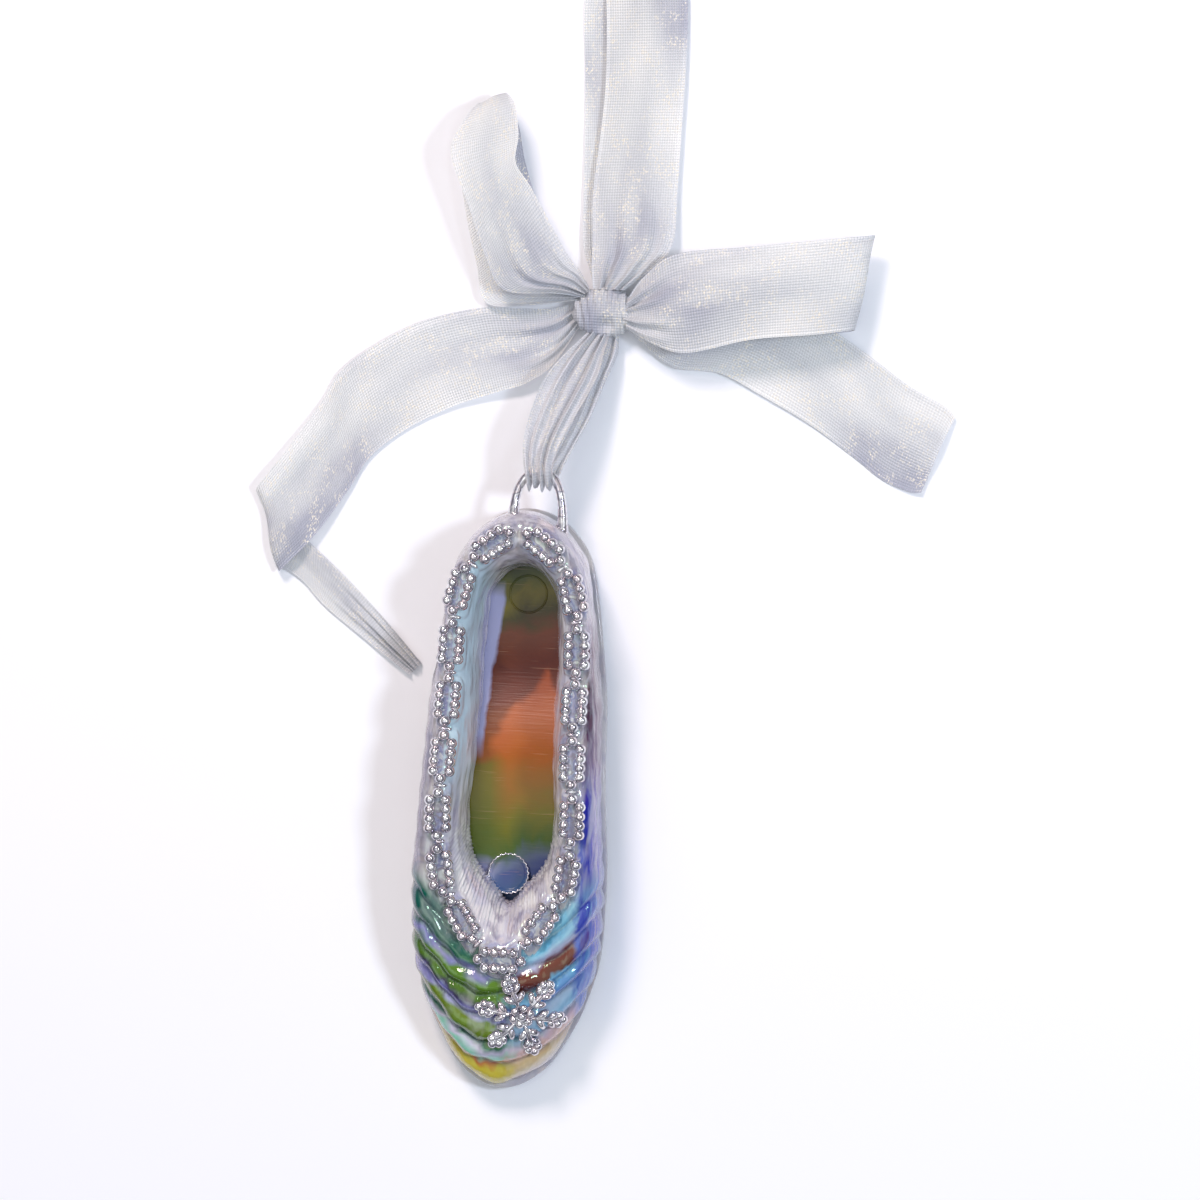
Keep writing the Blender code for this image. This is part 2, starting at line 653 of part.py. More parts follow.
def ring(material):
    """The loop behind the heel that the ribbon goes through, both ends run into the wall."""
    turn = np.linspace(0, np.pi, RING_STATIONS)
    half = (RING_WIDTH - RING_BAR) / 2
    x = RING_ACROSS + half * np.sign(np.cos(turn)) * np.abs(np.cos(turn)) ** RING_SQUARE
    widest = np.argmax(OUTER[1])
    right, left = np.interp(np.abs(x[[0, -1]]), OUTER[1][:widest], OUTER[2][:widest]) + RING_ROOT
    root = left + (right - left) * (1 + np.cos(turn)) / 2
    outermost = RING_REACH - RING_BAR / 2
    y = heel_y() - root + (root + outermost) * np.abs(np.sin(turn)) ** RING_SQUARE
    line = np.stack([x, y, np.full(RING_STATIONS, RING_HEIGHT)], axis=1)
    heading = np.gradient(line, axis=0)
    heading /= np.linalg.norm(heading, axis=1, keepdims=True)
    beside = np.cross(heading, (0, 0, 1))
    c, s = oval(RING_CORNERS)
    circle = beside[:, None] * c[None, :, None] + np.array((0, 0, 1.0)) * s[None, :, None]
    points = line[:, None] + circle * RING_BAR / 2
    return helper("ring", points, tube_faces(RING_STATIONS, RING_CORNERS), material)


def make_upper(material):
    """The hollow moulding: the double wall with its folds, and the raised work joined on."""
    grid = wall_grid()
    columns, rows = grid.shape[:2]
    upper = body("upper", grid, ring_faces(columns, rows), material)
    points = grid.reshape(-1, 3)
    tree = BVHTree.FromPolygons(points.tolist(), ring_faces(columns, rows))
    raised = bpy.data.collections.new("raised work")
    bpy.context.scene.collection.children.link(raised)
    for made in [*medallions(tree, material), *snowflake(tree, material), ring(material)]:
        bpy.context.scene.collection.objects.unlink(made)
        raised.objects.link(made)
    joined = upper.modifiers.new("raised work", "BOOLEAN")
    joined.operation = "UNION"
    joined.solver = "EXACT"
    joined.operand_type = "COLLECTION"
    joined.collection = raised
    return upper


def make_sole(material):
    """A plate of even thickness on the outline, bent to the arch, its lower edge rounded."""
    share = (1 - np.cos(np.pi * np.linspace(SOLE_CUT, 1 - SOLE_CUT, SOLE_STATIONS))) / 2
    along = share * LENGTH
    across = half_width(OUTLINE, share) * BALL_WIDTH / 2
    low = underside(along)
    top = low + SOLE_THICKNESS
    inner = np.maximum(across - EDGE_ROUND, across / 2)
    ring_points = [
        (inner, low),
        (across, low + EDGE_ROUND),
        (across, top),
        (-across, top),
        (-across, low + EDGE_ROUND),
        (-inner, low),
    ]
    stations = np.stack(
        [np.stack([x, heel_y() - along, z], axis=1) for x, z in ring_points], axis=1
    )
    return body("sole", stations, tube_faces(SOLE_STATIONS, len(ring_points)), material)


def through(rows, steps):
    """Smooth curve through the rows of a table, steps to each gap, by Catmull and Rom's formula."""
    rows = np.array(rows)
    padded = np.vstack([2 * rows[0] - rows[1], rows, 2 * rows[-1] - rows[-2]])
    out = []
    for i in range(len(rows) - 1):
        a, b, c, d = padded[i : i + 4]
        for t in np.arange(steps) / steps:
            square = (2 * a - 5 * b + 4 * c - d) * t**2
            cube = (3 * b - a - 3 * c + d) * t**3
            out.append((2 * b + (c - a) * t + square + cube) / 2)
    return np.array([*out, rows[-1]])


def make_strand(name, table, material):
    """A strip of ribbon between the two edges that a table gives, with a real thickness."""
    edges = through(table, 2) * RIBBON_STEP
    left, right = edges[:, :3].copy(), edges[:, 3:].copy()
    for edge in (left, right):
        edge[:, 1] += heel_y()
        edge[:, 2] = np.maximum(edge[:, 2], RIBBON_THICKNESS / 2 + LIFT)
    middle = (left + right) / 2
    heading = np.gradient(middle, axis=0)
    normal = np.cross(heading, right - left)
    normal /= np.linalg.norm(normal, axis=1, keepdims=True)
    half = normal * RIBBON_THICKNESS / 2
    corners = [left + half, middle + half, right + half, right - half, middle - half, left - half]
    points = np.stack(corners, axis=1)
    return body(name, points, tube_faces(len(edges), len(corners)), material)


def make_knot(material):
    """The knot as one rounded lump."""
    centre = np.array([KNOT_ACROSS, heel_y() + KNOT_BACK, KNOT_HEIGHT / 2 + LIFT])
    size = np.array([KNOT_LENGTH, KNOT_WIDTH, KNOT_HEIGHT]) / 2
    rise = np.linspace(-KNOT_CUT, KNOT_CUT, KNOT_RINGS)[:, None]
    wide = np.sqrt(1 - np.abs(rise) ** KNOT_POWER)
    c, s = oval(KNOT_CORNERS)
    unit = np.stack([wide * c, wide * s, rise + 0 * c], axis=-1)
    return body("ribbon_knot", centre + unit * size, tube_faces(KNOT_RINGS, KNOT_CORNERS), material)


for old in list(bpy.data.objects):
    bpy.data.objects.remove(old, do_unlink=True)

clear_plastic = finish("clear_plastic", (0.78, 0.78, 0.84), 0.05, 0.9)
organza = finish("white_organza", (0.88, 0.88, 0.90), 0.45)
make_upper(clear_plastic)
make_sole(clear_plastic)
make_knot(organza)
STRANDS = {
    "ribbon_leg_front": LEG_FRONT,
    "ribbon_leg_back": LEG_BACK,
    "ribbon_hanger": HANGER,
    "ribbon_loop_left": LOOP_LEFT,
    "ribbon_loop_right": LOOP_RIGHT,
    "ribbon_tail_left": TAIL_LEFT,
    "ribbon_tail_right": TAIL_RIGHT,
}
for strand, rows in STRANDS.items():
    make_strand(strand, rows, organza)
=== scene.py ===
"""A clear moulded ballet slipper ornament hung on an organza ribbon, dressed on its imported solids.

Metres, +Z up. The slipper stands on its sole on the floor z = 0, toe towards -Y and heel towards
+Y, and its bow lies on the same floor behind the heel. "Along" is the distance from the back of
the heel towards the toe, "across" the distance from the centre line.
"""

import bmesh
import bpy
import numpy as np
from mathutils import Matrix, Vector
from mathutils.bvhtree import BVHTree


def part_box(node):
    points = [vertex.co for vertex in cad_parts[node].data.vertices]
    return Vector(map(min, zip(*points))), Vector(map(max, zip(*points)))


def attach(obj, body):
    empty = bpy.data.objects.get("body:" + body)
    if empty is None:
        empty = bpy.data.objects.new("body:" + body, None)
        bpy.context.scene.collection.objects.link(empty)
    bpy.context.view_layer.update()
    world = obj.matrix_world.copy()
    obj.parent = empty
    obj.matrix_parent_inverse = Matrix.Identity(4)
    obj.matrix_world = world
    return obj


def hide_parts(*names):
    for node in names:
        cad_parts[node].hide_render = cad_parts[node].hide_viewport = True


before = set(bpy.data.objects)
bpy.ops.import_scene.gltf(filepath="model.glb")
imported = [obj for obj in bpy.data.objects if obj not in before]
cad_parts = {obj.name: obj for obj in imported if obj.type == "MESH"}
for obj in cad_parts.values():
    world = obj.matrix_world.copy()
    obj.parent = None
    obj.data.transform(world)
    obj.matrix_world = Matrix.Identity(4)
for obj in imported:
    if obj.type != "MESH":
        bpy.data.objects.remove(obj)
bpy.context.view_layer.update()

# The camera
# A long lens looks straight down on the slipper, which lies a little turned and a little rolled:
# its right outer wall and its left inner wall show.
PICTURE_WIDTH = 0.2062
PICTURE_CENTRE = Vector((0.0133, 0.0313, 0.0060))
PICTURE_TURN = np.radians(2.75)
PICTURE_ROLL = np.radians(5.7)
CAMERA_DISTANCE = 1.2
SENSOR = 36.0  # millimetres

lens = bpy.data.cameras.new("camera")
lens.sensor_width = SENSOR
lens.lens = SENSOR * CAMERA_DISTANCE / PICTURE_WIDTH
level_right = Vector((np.cos(PICTURE_TURN), np.sin(PICTURE_TURN), 0))
picture_up = Vector((-np.sin(PICTURE_TURN), np.cos(PICTURE_TURN), 0))
picture_right = level_right * np.cos(PICTURE_ROLL) - Vector((0, 0, 1)) * np.sin(PICTURE_ROLL)
picture_back = level_right * np.sin(PICTURE_ROLL) + Vector((0, 0, 1)) * np.cos(PICTURE_ROLL)
camera = bpy.data.objects.new("camera", lens)
camera.matrix_world = Matrix.Translation(PICTURE_CENTRE + picture_back * CAMERA_DISTANCE) @ (
    Matrix((picture_right, picture_up, picture_back)).transposed().to_4x4()
)
bpy.context.scene.collection.objects.link(camera)
bpy.context.scene.camera = camera

# The ribbon
# White organza, 16 mm wide: a sheer, crisp plain weave of fine polyester threads with a bound edge
# and a thread of tinsel here and there, its glints painted as bright specks. It is folded over the
# ring, knotted and tied in a bow.
RIBBON_WIDTH = 0.0160
EDGE_WIDTH = 0.0007  # of the closely woven edge
THREAD_PITCH = 0.00048  # the real threads lie 0.2 mm apart, too fine to show
WEAVE_COVER = (0.68, 0.92)  # between the threads and where they cross
# Painted shade: darker lavender cloudy patches at random places, and a darker tone where the cloth is
# gathered
CLOTH_SHADE_TONES = [(0.35, "#B4B8C8"), (0.43, "#D6DAE0"), (0.52, "#E8ECEE"), (0.64, "#FAFCFB")]
GATHER_SHADE = "#DCDFE6"
# Painted glints: the tinsel's sparks as bright specks in the cloth's colour
SPARK_PITCH = 0.00030
TINSEL_GLINT = "#FFFAEC"
RIBBON_STEPS = 10  # between two rows of a table
RIBBON_COLUMNS = 48
PINCH_REACH = 0.0120  # how far the gathers run out from the knot or the ring
GATHERS = 4
MOST_GATHER = 0.0009
BILLOW = 0.0004
FLOOR_CLEARANCE = 0.0002

# Each row is a crossing of the strip from its left edge to its right one, in millimetres: x,
# distance behind the heel and z of both
LEG_TO_RING = [
    (8.6, 30.4, 4.4, 12.6, 30.3, 4.4), (5.6, 27.0, 6.0, 12.0, 27.2, 5.8),
    (2.2, 22.1, 8.0, 11.1, 22.6, 7.6), (0.1, 15.5, 10.1, 8.0, 15.9, 9.9),
    (-0.6, 11.0, 11.4, 5.8, 11.2, 11.3), (-0.4, 7.7, 12.0, 4.8, 7.8, 12.0),
]
ROUND_THE_RING = [
    (0.0, 6.0, 12.6, 4.8, 6.0, 12.6), (0.2, 4.0, 11.6, 4.8, 4.0, 11.6),
    (0.3, 3.8, 9.6, 4.9, 3.8, 9.6), (0.5, 5.6, 9.0, 5.5, 5.6, 9.0),
]
LEG_FROM_RING = [
    (0.8, 7.7, 9.8, 6.6, 7.8, 9.8), (2.4, 11.0, 9.2, 8.2, 11.2, 9.2),
    (3.6, 15.7, 7.8, 10.4, 16.0, 7.8), (5.2, 22.3, 5.6, 12.5, 22.6, 5.6),
    (7.0, 27.0, 3.8, 14.0, 27.2, 3.8), (9.6, 30.4, 2.4, 14.0, 30.6, 2.4),
]
HANGER = [
    (9.4, 38.2, 4.8, 14.8, 38.2, 4.8), (9.0, 41.5, 4.8, 19.0, 41.8, 4.6),
    (8.8, 46.0, 4.0, 22.6, 46.5, 3.6), (8.4, 55.1, 2.8, 22.9, 55.8, 2.2),
    (9.2, 65.5, 2.0, 23.1, 66.1, 1.7), (9.6, 75.8, 1.6, 23.3, 76.5, 1.6),
    (9.0, 87.8, 1.5, 23.1, 88.5, 1.5), (8.0, 96.0, 1.4, 22.0, 96.2, 1.4),
    (7.4, 96.6, 0.9, 21.2, 96.8, 0.9), (6.8, 96.0, 0.4, 20.5, 96.2, 0.4),
    (5.2, 87.6, 0.4, 18.6, 88.2, 0.4), (5.8, 75.6, 0.4, 17.6, 76.1, 0.4),
    (6.3, 65.3, 0.5, 17.6, 65.8, 0.5), (6.6, 55.0, 0.7, 18.4, 55.5, 0.6),
    (7.0, 46.0, 1.4, 19.0, 46.5, 1.2), (8.4, 41.5, 2.2, 16.8, 41.8, 2.0),
    (9.6, 38.2, 2.6, 14.0, 38.2, 2.6),
]
LOOP_LEFT = [
    (7.4, 36.6, 5.0, 8.8, 38.4, 5.0), (3.0, 37.0, 6.4, 7.4, 40.8, 6.0),
    (-5.6, 37.2, 7.8, 4.6, 44.4, 7.2), (-9.0, 43.0, 9.2, -1.6, 54.8, 8.4),
    (-12.3, 51.5, 9.8, -4.5, 59.1, 9.0), (-15.8, 60.3, 9.2, -4.3, 63.8, 8.8),
    (-14.0, 66.0, 8.0, -5.2, 69.0, 8.0), (-12.2, 69.0, 6.2, -7.0, 71.2, 6.2),
    (-12.4, 68.2, 4.4, -7.0, 70.6, 4.4), (-15.0, 61.0, 3.6, -4.8, 65.5, 3.6),
    (-13.4, 50.5, 3.0, -3.6, 60.0, 3.4), (-11.2, 41.8, 2.6, -1.0, 52.5, 3.2),
    (-9.1, 35.0, 2.6, 3.6, 42.5, 3.2), (-1.0, 35.0, 3.4, 6.6, 39.6, 3.6),
    (7.2, 36.2, 3.8, 8.4, 38.0, 3.8),
]
TAIL_LEFT = [
    (7.0, 36.0, 2.2, 7.2, 31.8, 2.2), (2.0, 34.6, 1.6, 3.0, 25.0, 2.0),
    (-4.0, 34.4, 1.0, -1.6, 21.5, 1.8), (-10.4, 34.2, 0.8, -6.0, 20.0, 1.4),
    (-20.4, 31.4, 1.2, -14.1, 17.1, 0.8), (-28.5, 26.8, 1.4, -22.3, 12.7, 0.6),
    (-34.2, 22.2, 1.0, -28.4, 7.6, 0.6), (-37.2, 16.8, 0.8, -31.9, 1.7, 0.8),
    (-42.6, 8.6, 1.8, -37.1, -6.2, 1.8), (-46.6, 2.8, 2.8, -42.0, -11.8, 2.8),
    (-47.7, 1.0, 1.8, -43.2, -13.0, 1.8), (-47.0, 0.6, 0.6, -42.6, -12.4, 0.6),
    (-41.2, -5.0, 0.6, -39.0, -14.5, 0.6), (-31.5, -13.4, 1.0, -34.5, -19.0, 0.6),
    (-23.2, -21.5, 1.2, -26.2, -25.0, 0.6), (-17.6, -27.6, 1.0, -19.6, -29.6, 0.6),
]
LOOP_RIGHT = [
    (15.4, 37.0, 5.2, 15.6, 31.6, 5.2), (18.0, 40.5, 6.6, 20.0, 29.2, 6.6),
    (23.6, 44.6, 8.4, 26.2, 27.8, 7.8), (36.1, 46.3, 9.8, 37.2, 30.5, 8.8),
    (48.4, 48.0, 9.2, 47.5, 31.8, 8.4), (55.2, 49.0, 8.0, 53.0, 32.7, 7.4),
    (57.6, 49.4, 6.0, 55.0, 33.1, 5.6), (56.0, 48.8, 4.0, 53.4, 32.7, 3.8),
    (47.0, 47.4, 3.2, 46.2, 32.0, 3.4), (36.1, 45.5, 3.0, 37.0, 31.2, 3.6),
    (25.0, 43.0, 3.2, 26.8, 30.0, 3.6), (18.2, 39.0, 3.6, 19.6, 30.8, 3.8),
    (15.4, 36.6, 3.8, 15.6, 32.2, 3.8),
]
TAIL_RIGHT = [
    (15.3, 36.2, 2.2, 15.5, 31.6, 2.2), (19.0, 37.2, 1.6, 19.0, 28.6, 2.0),
    (27.0, 38.4, 1.0, 24.0, 25.4, 1.8), (37.5, 38.5, 0.8, 31.6, 24.8, 1.4),
    (44.5, 37.2, 1.0, 39.2, 21.2, 1.0), (51.2, 32.9, 1.4, 47.9, 16.5, 0.8),
    (58.6, 28.0, 1.2, 55.2, 11.5, 0.6), (64.4, 24.0, 0.8, 60.4, 7.8, 0.8),
    (70.6, 20.8, 0.8, 65.0, 6.0, 1.0), (72.4, 19.0, 1.2, 67.2, 5.8, 1.2),
]
# Solids that a strip stands for, its table, the shares of its length at which it is pinched, how it
# is held and what it rests on
STRIPS = {
    "ribbon_legs": (
        ("ribbon_leg_front", "ribbon_leg_back"),
        LEG_TO_RING + ROUND_THE_RING + LEG_FROM_RING,
        (0.0, 0.25, 0.5, 0.75, 1.0),
        "hung",
        "upper",
    ),
}
for solid, table, pinches, held in (
    ("ribbon_hanger", HANGER, (0.0, 1.0), "folded"),
    ("ribbon_loop_left", LOOP_LEFT, (0.0, 1.0), "folded"),
    ("ribbon_loop_right", LOOP_RIGHT, (0.0, 1.0), "folded"),
    ("ribbon_tail_left", TAIL_LEFT, (0.0, 1.0), "folded"),
    ("ribbon_tail_right", TAIL_RIGHT, (0.0,), "laid"),
):
    STRIPS[f"{solid}_cloth"] = ((solid,), table, pinches, held, "ribbon_knot_cloth")
HEEL = 0.0465  # y of the back of the heel


def paint(code):
    """An sRGB hex colour as linear red, green, blue and alpha."""
    share = np.array([int(code[i : i + 2], 16) for i in (1, 3, 5)]) / 255
    linear = np.where(share <= 0.04045, share / 12.92, ((share + 0.055) / 1.055) ** 2.4)
    return (*linear, 1.0)


def add(tree, kind, *feeds, stops=(), **settings):
    """Adds a node and returns its first output in use.

    feeds go into its inputs in turn: a socket is linked, a number or colour is set and None is
    left out. stops are a colour ramp's places and hex colours.
    """
    made = tree.nodes.new(f"ShaderNode{kind}")
    for name, value in settings.items():
        setattr(made, name, value)
    for socket, feed in zip([s for s in made.inputs if s.enabled], feeds):
        if isinstance(feed, bpy.types.NodeSocket):
            tree.links.new(feed, socket)
        elif feed is not None:
            socket.default_value = feed
    for k, (place, code) in enumerate(stops):
        stop = made.color_ramp.elements[k] if k < 2 else made.color_ramp.elements.new(1.0)
        stop.position, stop.color = place, paint(code)
    return next(s for s in made.outputs if s.enabled)


def new_material(name):
    """A material and its node tree."""
    made = bpy.data.materials.new(name)
    made.use_nodes = True
    return made, made.node_tree


def wire(tree, feeds):
    """Feeds the shader's inputs by name: a socket is linked, a number or colour is set."""
    shader = tree.nodes["Principled BSDF"]
    for name, feed in feeds.items():
        if isinstance(feed, bpy.types.NodeSocket):
            tree.links.new(feed, shader.inputs[name])
        else:
            shader.inputs[name].default_value = feed


def grid_faces(rows, columns, wrap_rows=False, wrap_columns=False):
    """Quads of a grid of points, each point with its next neighbours; a wrapped side closes."""
    i, j = np.meshgrid(
        np.arange(rows if wrap_rows else rows - 1),
        np.arange(columns if wrap_columns else columns - 1),
        indexing="ij",
    )
    below, beside = (i + 1) % rows, (j + 1) % columns
    corners = (i * columns + j, below * columns + j, below * columns + beside, i * columns + beside)
    return np.stack(corners, axis=-1).reshape(-1, 4).tolist()


def surface(name, points, faces, material, cloth=None, marks=None):
    """A smooth piece from points and faces; cloth gives each point's UV, marks its other values."""
    mesh = bpy.data.meshes.new(name)
    points = np.asarray(points, float).reshape(-1, 3)
    mesh.from_pydata(points.tolist(), [], faces)
    if cloth is not None:
        corner = np.empty(len(mesh.loops), np.int32)
        mesh.loops.foreach_get("vertex_index", corner)
        layer = mesh.uv_layers.new(name="cloth")
        layer.data.foreach_set("uv", cloth.reshape(-1, 2)[corner].astype(np.float32).ravel())
    for mark, values in (marks or {}).items():
        attribute = mesh.attributes.new(mark, "FLOAT", "POINT")
        attribute.data.foreach_set("value", np.asarray(values, np.float32).ravel())
    mesh.materials.append(material)
    mesh.update()
    mesh.shade_smooth()
    made = bpy.data.objects.new(name, mesh)
    bpy.context.scene.collection.objects.link(made)
    return made


def unit(vectors):
    """Each vector at length 1."""
    return vectors / np.linalg.norm(vectors, axis=-1, keepdims=True)


def turns(count):
    """Even steps of a full turn, in radians."""
    return 2 * np.pi * np.arange(count) / count


def through(rows, steps):
    """Smooth curve through the rows, steps to each gap, by Catmull and Rom's formula."""
    rows = np.array(rows)
    padded = np.vstack([2 * rows[0] - rows[1], rows, 2 * rows[-1] - rows[-2]])
    t = (np.arange(steps) / steps)[None, :, None]
    a, b, c, d = (padded[i : i + len(rows) - 1, None] for i in range(4))
    square = (2 * a - 5 * b + 4 * c - d) * t**2
    cube = (3 * b - a - 3 * c + d) * t**3
    curve = (2 * b + (c - a) * t + square + cube) / 2
    return np.vstack([curve.reshape(-1, rows.shape[1]), rows[-1]])


def organza():
    """Sheer organza: an open weave with a soft sheen, painted shade in cloudy patches and where gathered,
    and painted glints for tinsel sparks.

    A thread is the crest of a sine of the place across it, and the cloth covers most where the
    crests of both directions meet.
    """
    made, tree = new_material("white_polyester_organza")
    cloth = add(tree, "UVMap", uv_map="cloth")
    across = add(tree, "SeparateXYZ", cloth)
    crests = []
    for place in (across, across.node.outputs["Y"]):
        turn = add(tree, "Math", place, 2 * np.pi / THREAD_PITCH, operation="MULTIPLY")
        crests.append(add(tree, "Math", turn, operation="SINE"))
    weave = add(tree, "Math", *crests, operation="ADD")
    middle = add(tree, "Math", across, RIBBON_WIDTH / 2, operation="SUBTRACT")
    from_middle = add(tree, "Math", middle, operation="ABSOLUTE")
    edge = RIBBON_WIDTH / 2 - EDGE_WIDTH
    bound = add(tree, "MapRange", from_middle, edge, edge + EDGE_WIDTH / 3)
    cover = add(tree, "MapRange", weave, -2.0, 2.0, *WEAVE_COVER)
    tied = add(tree, "Math", bound, 0.12, cover, operation="MULTIPLY_ADD", use_clamp=True)

    # Painted shade: random cloudy patches of darker lavender, darker again where the cloth is gathered
    slack = add(tree, "Mapping", cloth, None, None, (1.0, 0.35, 1.0))
    cloud = add(tree, "TexNoise", slack, 75.0, 2.0)
    painted_shade_tone = add(tree, "ValToRGB", cloud, stops=CLOTH_SHADE_TONES)
    gathered = add(tree, "Attribute", attribute_name="gathered").node.outputs["Fac"]
    painted_shade_tone = add(tree, "Mix", gathered, painted_shade_tone, paint(GATHER_SHADE), data_type="RGBA")
    # Painted glints: clusters of bright specks standing for the tinsel's sparkle
    cells = add(tree, "TexVoronoi", cloth, 1 / SPARK_PITCH).node.outputs["Color"]
    lit = add(tree, "MapRange", add(tree, "SeparateColor", cells), 0.72, 0.86)
    patch = add(tree, "MapRange", add(tree, "TexNoise", cloth, 210.0, 3.0), 0.44, 0.62)
    painted_glint = add(tree, "Math", lit, patch, operation="MULTIPLY")
    colour = add(tree, "Mix", painted_glint, painted_shade_tone, paint(TINSEL_GLINT), data_type="RGBA")
    bump = add(tree, "Bump", 0.5, 0.00010, None, weave)

    wire(tree, {
        "Base Color": colour, "Alpha": tied, "Normal": bump, "Roughness": 0.45, "Sheen Weight": 0.25,
        "Sheen Roughness": 0.4,
    })
    return made


def strip(name, table, pinches, material):
    """A strip of ribbon across a table's rows, and its length.

    Where the knot or the ring pinches it, the cloth to spare goes into gathers: waves across the
    strip, each as high as the spare width over four times their number. Elsewhere it only billows.
    """
    edges = through(np.array(table) / 1000, RIBBON_STEPS)
    left, right = edges[:, None, :3].copy(), edges[:, None, 3:].copy()
    for edge in (left, right):
        edge[..., 1] += HEEL
    t = np.linspace(0, 1, RIBBON_COLUMNS)[None, :, None]
    flat = left + (right - left) * t
    normal = unit(np.cross(np.gradient(flat, axis=0), right - left))
    middle = flat[:, RIBBON_COLUMNS // 2]
    gone = np.concatenate([[0], np.cumsum(np.linalg.norm(np.diff(middle, axis=0), axis=-1))])
    far = gone[:, None, None]
    pinched = sum(np.exp(-(((far - share * gone[-1]) / PINCH_REACH) ** 2)) for share in pinches)
    width = np.linalg.norm(right - left, axis=-1, keepdims=True)
    spare = np.sqrt(np.maximum(RIBBON_WIDTH**2 - width**2, 0))
    gather = np.minimum(pinched * spare / (4 * GATHERS), MOST_GATHER)
    wave = 0.7 * np.sin(2 * np.pi * GATHERS * t + np.sin(far / 0.009))
    wave += 0.3 * np.sin(2 * np.pi * (GATHERS + 2.3) * t + 1.7 + far / 0.013)
    billow = BILLOW * np.sin(2.2 * np.pi * t + far / 0.012) * np.sin(far / 0.017 + 1)
    points = flat + normal * (gather * wave + billow)
    points[..., 2] = np.maximum(points[..., 2], FLOOR_CLEARANCE)
    cloth = np.stack(np.broadcast_arrays(t[..., 0] * RIBBON_WIDTH, gone[:, None]), axis=-1)
    # How gathered the cloth is; the organza darkens it there as painted shade
    marks = {"gathered": np.clip(pinched * (1 - width / RIBBON_WIDTH) * 1.2, 0, 1) + 0 * t}
    faces = grid_faces(*points.shape[:2])
    return surface(name, points, faces, material, cloth=cloth, marks=marks), gone[-1]


organza_finish = organza()
for strip_name, (solids, table, pinches, held, seat) in STRIPS.items():
    made, length = strip(strip_name, table, pinches, organza_finish)
    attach(made, "root")
    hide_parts(*solids)

# The knot
# The ribbon's turns round itself, pulled tight: a soft pad of organza, pleated the way it wraps,
# with a dimple where the strands go in.
KNOT_GROW = (1.40, 1.25, 1.0)  # it stands proud of its solid, as the loose turns do
KNOT_PLEATS = 4.5
KNOT_PLEAT_DEPTH = 0.10
KNOT_DIMPLE = 0.5
KNOT_DIMPLE_AT = (0.10, -0.55)
KNOT_ROUND = 96
KNOT_ROWS = 64


def close_poles(made):
    """Merges the points that meet at poles and turns every face outwards."""
    work = bmesh.new()
    work.from_mesh(made.data)
    bmesh.ops.remove_doubles(work, verts=work.verts, dist=1e-7)
    bmesh.ops.recalc_face_normals(work, faces=work.faces)
    work.to_mesh(made.data)
    work.free()


def knot(material):
    """A superellipsoid with pleats as sines of its width and a bell-shaped dimple in its top."""
    low, high = (np.array(corner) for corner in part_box("ribbon_knot"))
    centre, half = (low + high) / 2, (high - low) / 2 * KNOT_GROW
    turn = turns(KNOT_ROUND)[None, :]
    lean = np.linspace(-np.pi / 2, np.pi / 2, KNOT_ROWS)[:, None]
    out = np.cos(lean) ** 0.8
    x, y = out * np.cos(turn), out * np.sin(turn)
    z = np.sign(np.sin(lean)) * np.abs(np.sin(lean)) ** 0.9 + 0 * turn
    pleat = KNOT_PLEAT_DEPTH * np.sin(2 * np.pi * KNOT_PLEATS * (x + 0.12 * y) + 0.8 * np.sin(3 * y))
    pleat *= np.cos(lean)
    off = np.hypot(x - KNOT_DIMPLE_AT[0], y - KNOT_DIMPLE_AT[1])
    z = z * (1 - KNOT_DIMPLE * np.exp(-((off / 0.3) ** 2)) * (z > 0))
    unit = np.stack([x * (1 + pleat * 0.5), y * (1 + pleat * 0.5), z * (1 + pleat)], axis=-1)
    points = centre + unit * half
    points[..., 2] = np.maximum(points[..., 2], FLOOR_CLEARANCE)
    cloth = points[..., :2] - centre[:2] + RIBBON_WIDTH / 2
    faces = grid_faces(KNOT_ROWS, KNOT_ROUND, wrap_columns=True)
    made = surface("ribbon_knot_cloth", points, faces, material, cloth=cloth)
    close_poles(made)
    return made


knot_cloth = knot(organza_finish)
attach(knot_cloth, "root")
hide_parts("ribbon_knot")

# The upper
# Clear polystyrene, injection moulded as one double wall: outer wall, collar and well wall, open
# underneath, with draped folds over the toe and a rounded pad for each oval of the trim.
# A vacuum coat on it changes colour from place to place: teal, gold and maroon at the toe, deep
# blue along the right side.
LENGTH = 0.1000
BALL_WIDTH = 0.0330
HEEL_HEIGHT = 0.0172
WAIST_HEIGHT = 0.0138
THROAT_HEIGHT = 0.0158
COLLAR_START = 0.0050
THROAT = 0.0774
COLLAR_WIDTH = 0.0230
FLOOR_START = 0.0100
FLOOR_END = 0.0676
FLOOR_WIDTH = 0.0146
SOLE_THICKNESS = 0.0024
ARCH_RISE = 0.0046
TOE_SPRING = 0.0010
HEEL_FLAT_END = 0.0220
BALL_FLAT_START = 0.0720
BALL_FLAT_END = 0.0900
WALL = 0.0018
SEAM_GAP = 0.0003
LIP = 0.0003
TUCK = 0.0009
BELLY = 0.40
DENSE = 400

FOLD_DEPTH = 0.0013
FOLD_SIDE_LOSS = 0.6  # of the folds' rise at the sides
FOLD_SWEEP = 0.0110
FOLD_FADE = 0.0040
PADS_A_SIDE = 8
PAD_LENGTH = 0.0090
PAD_WIDTH = 0.0064
PAD_RISE = 0.0006
WELL_FLUTE = 0.00030
SIDE_RIPPLE = 0.00011
UPPER_COLUMNS = 620
OUTER_ROWS = 64
WELL_ROWS = 34
CAVITY_ROWS = 12

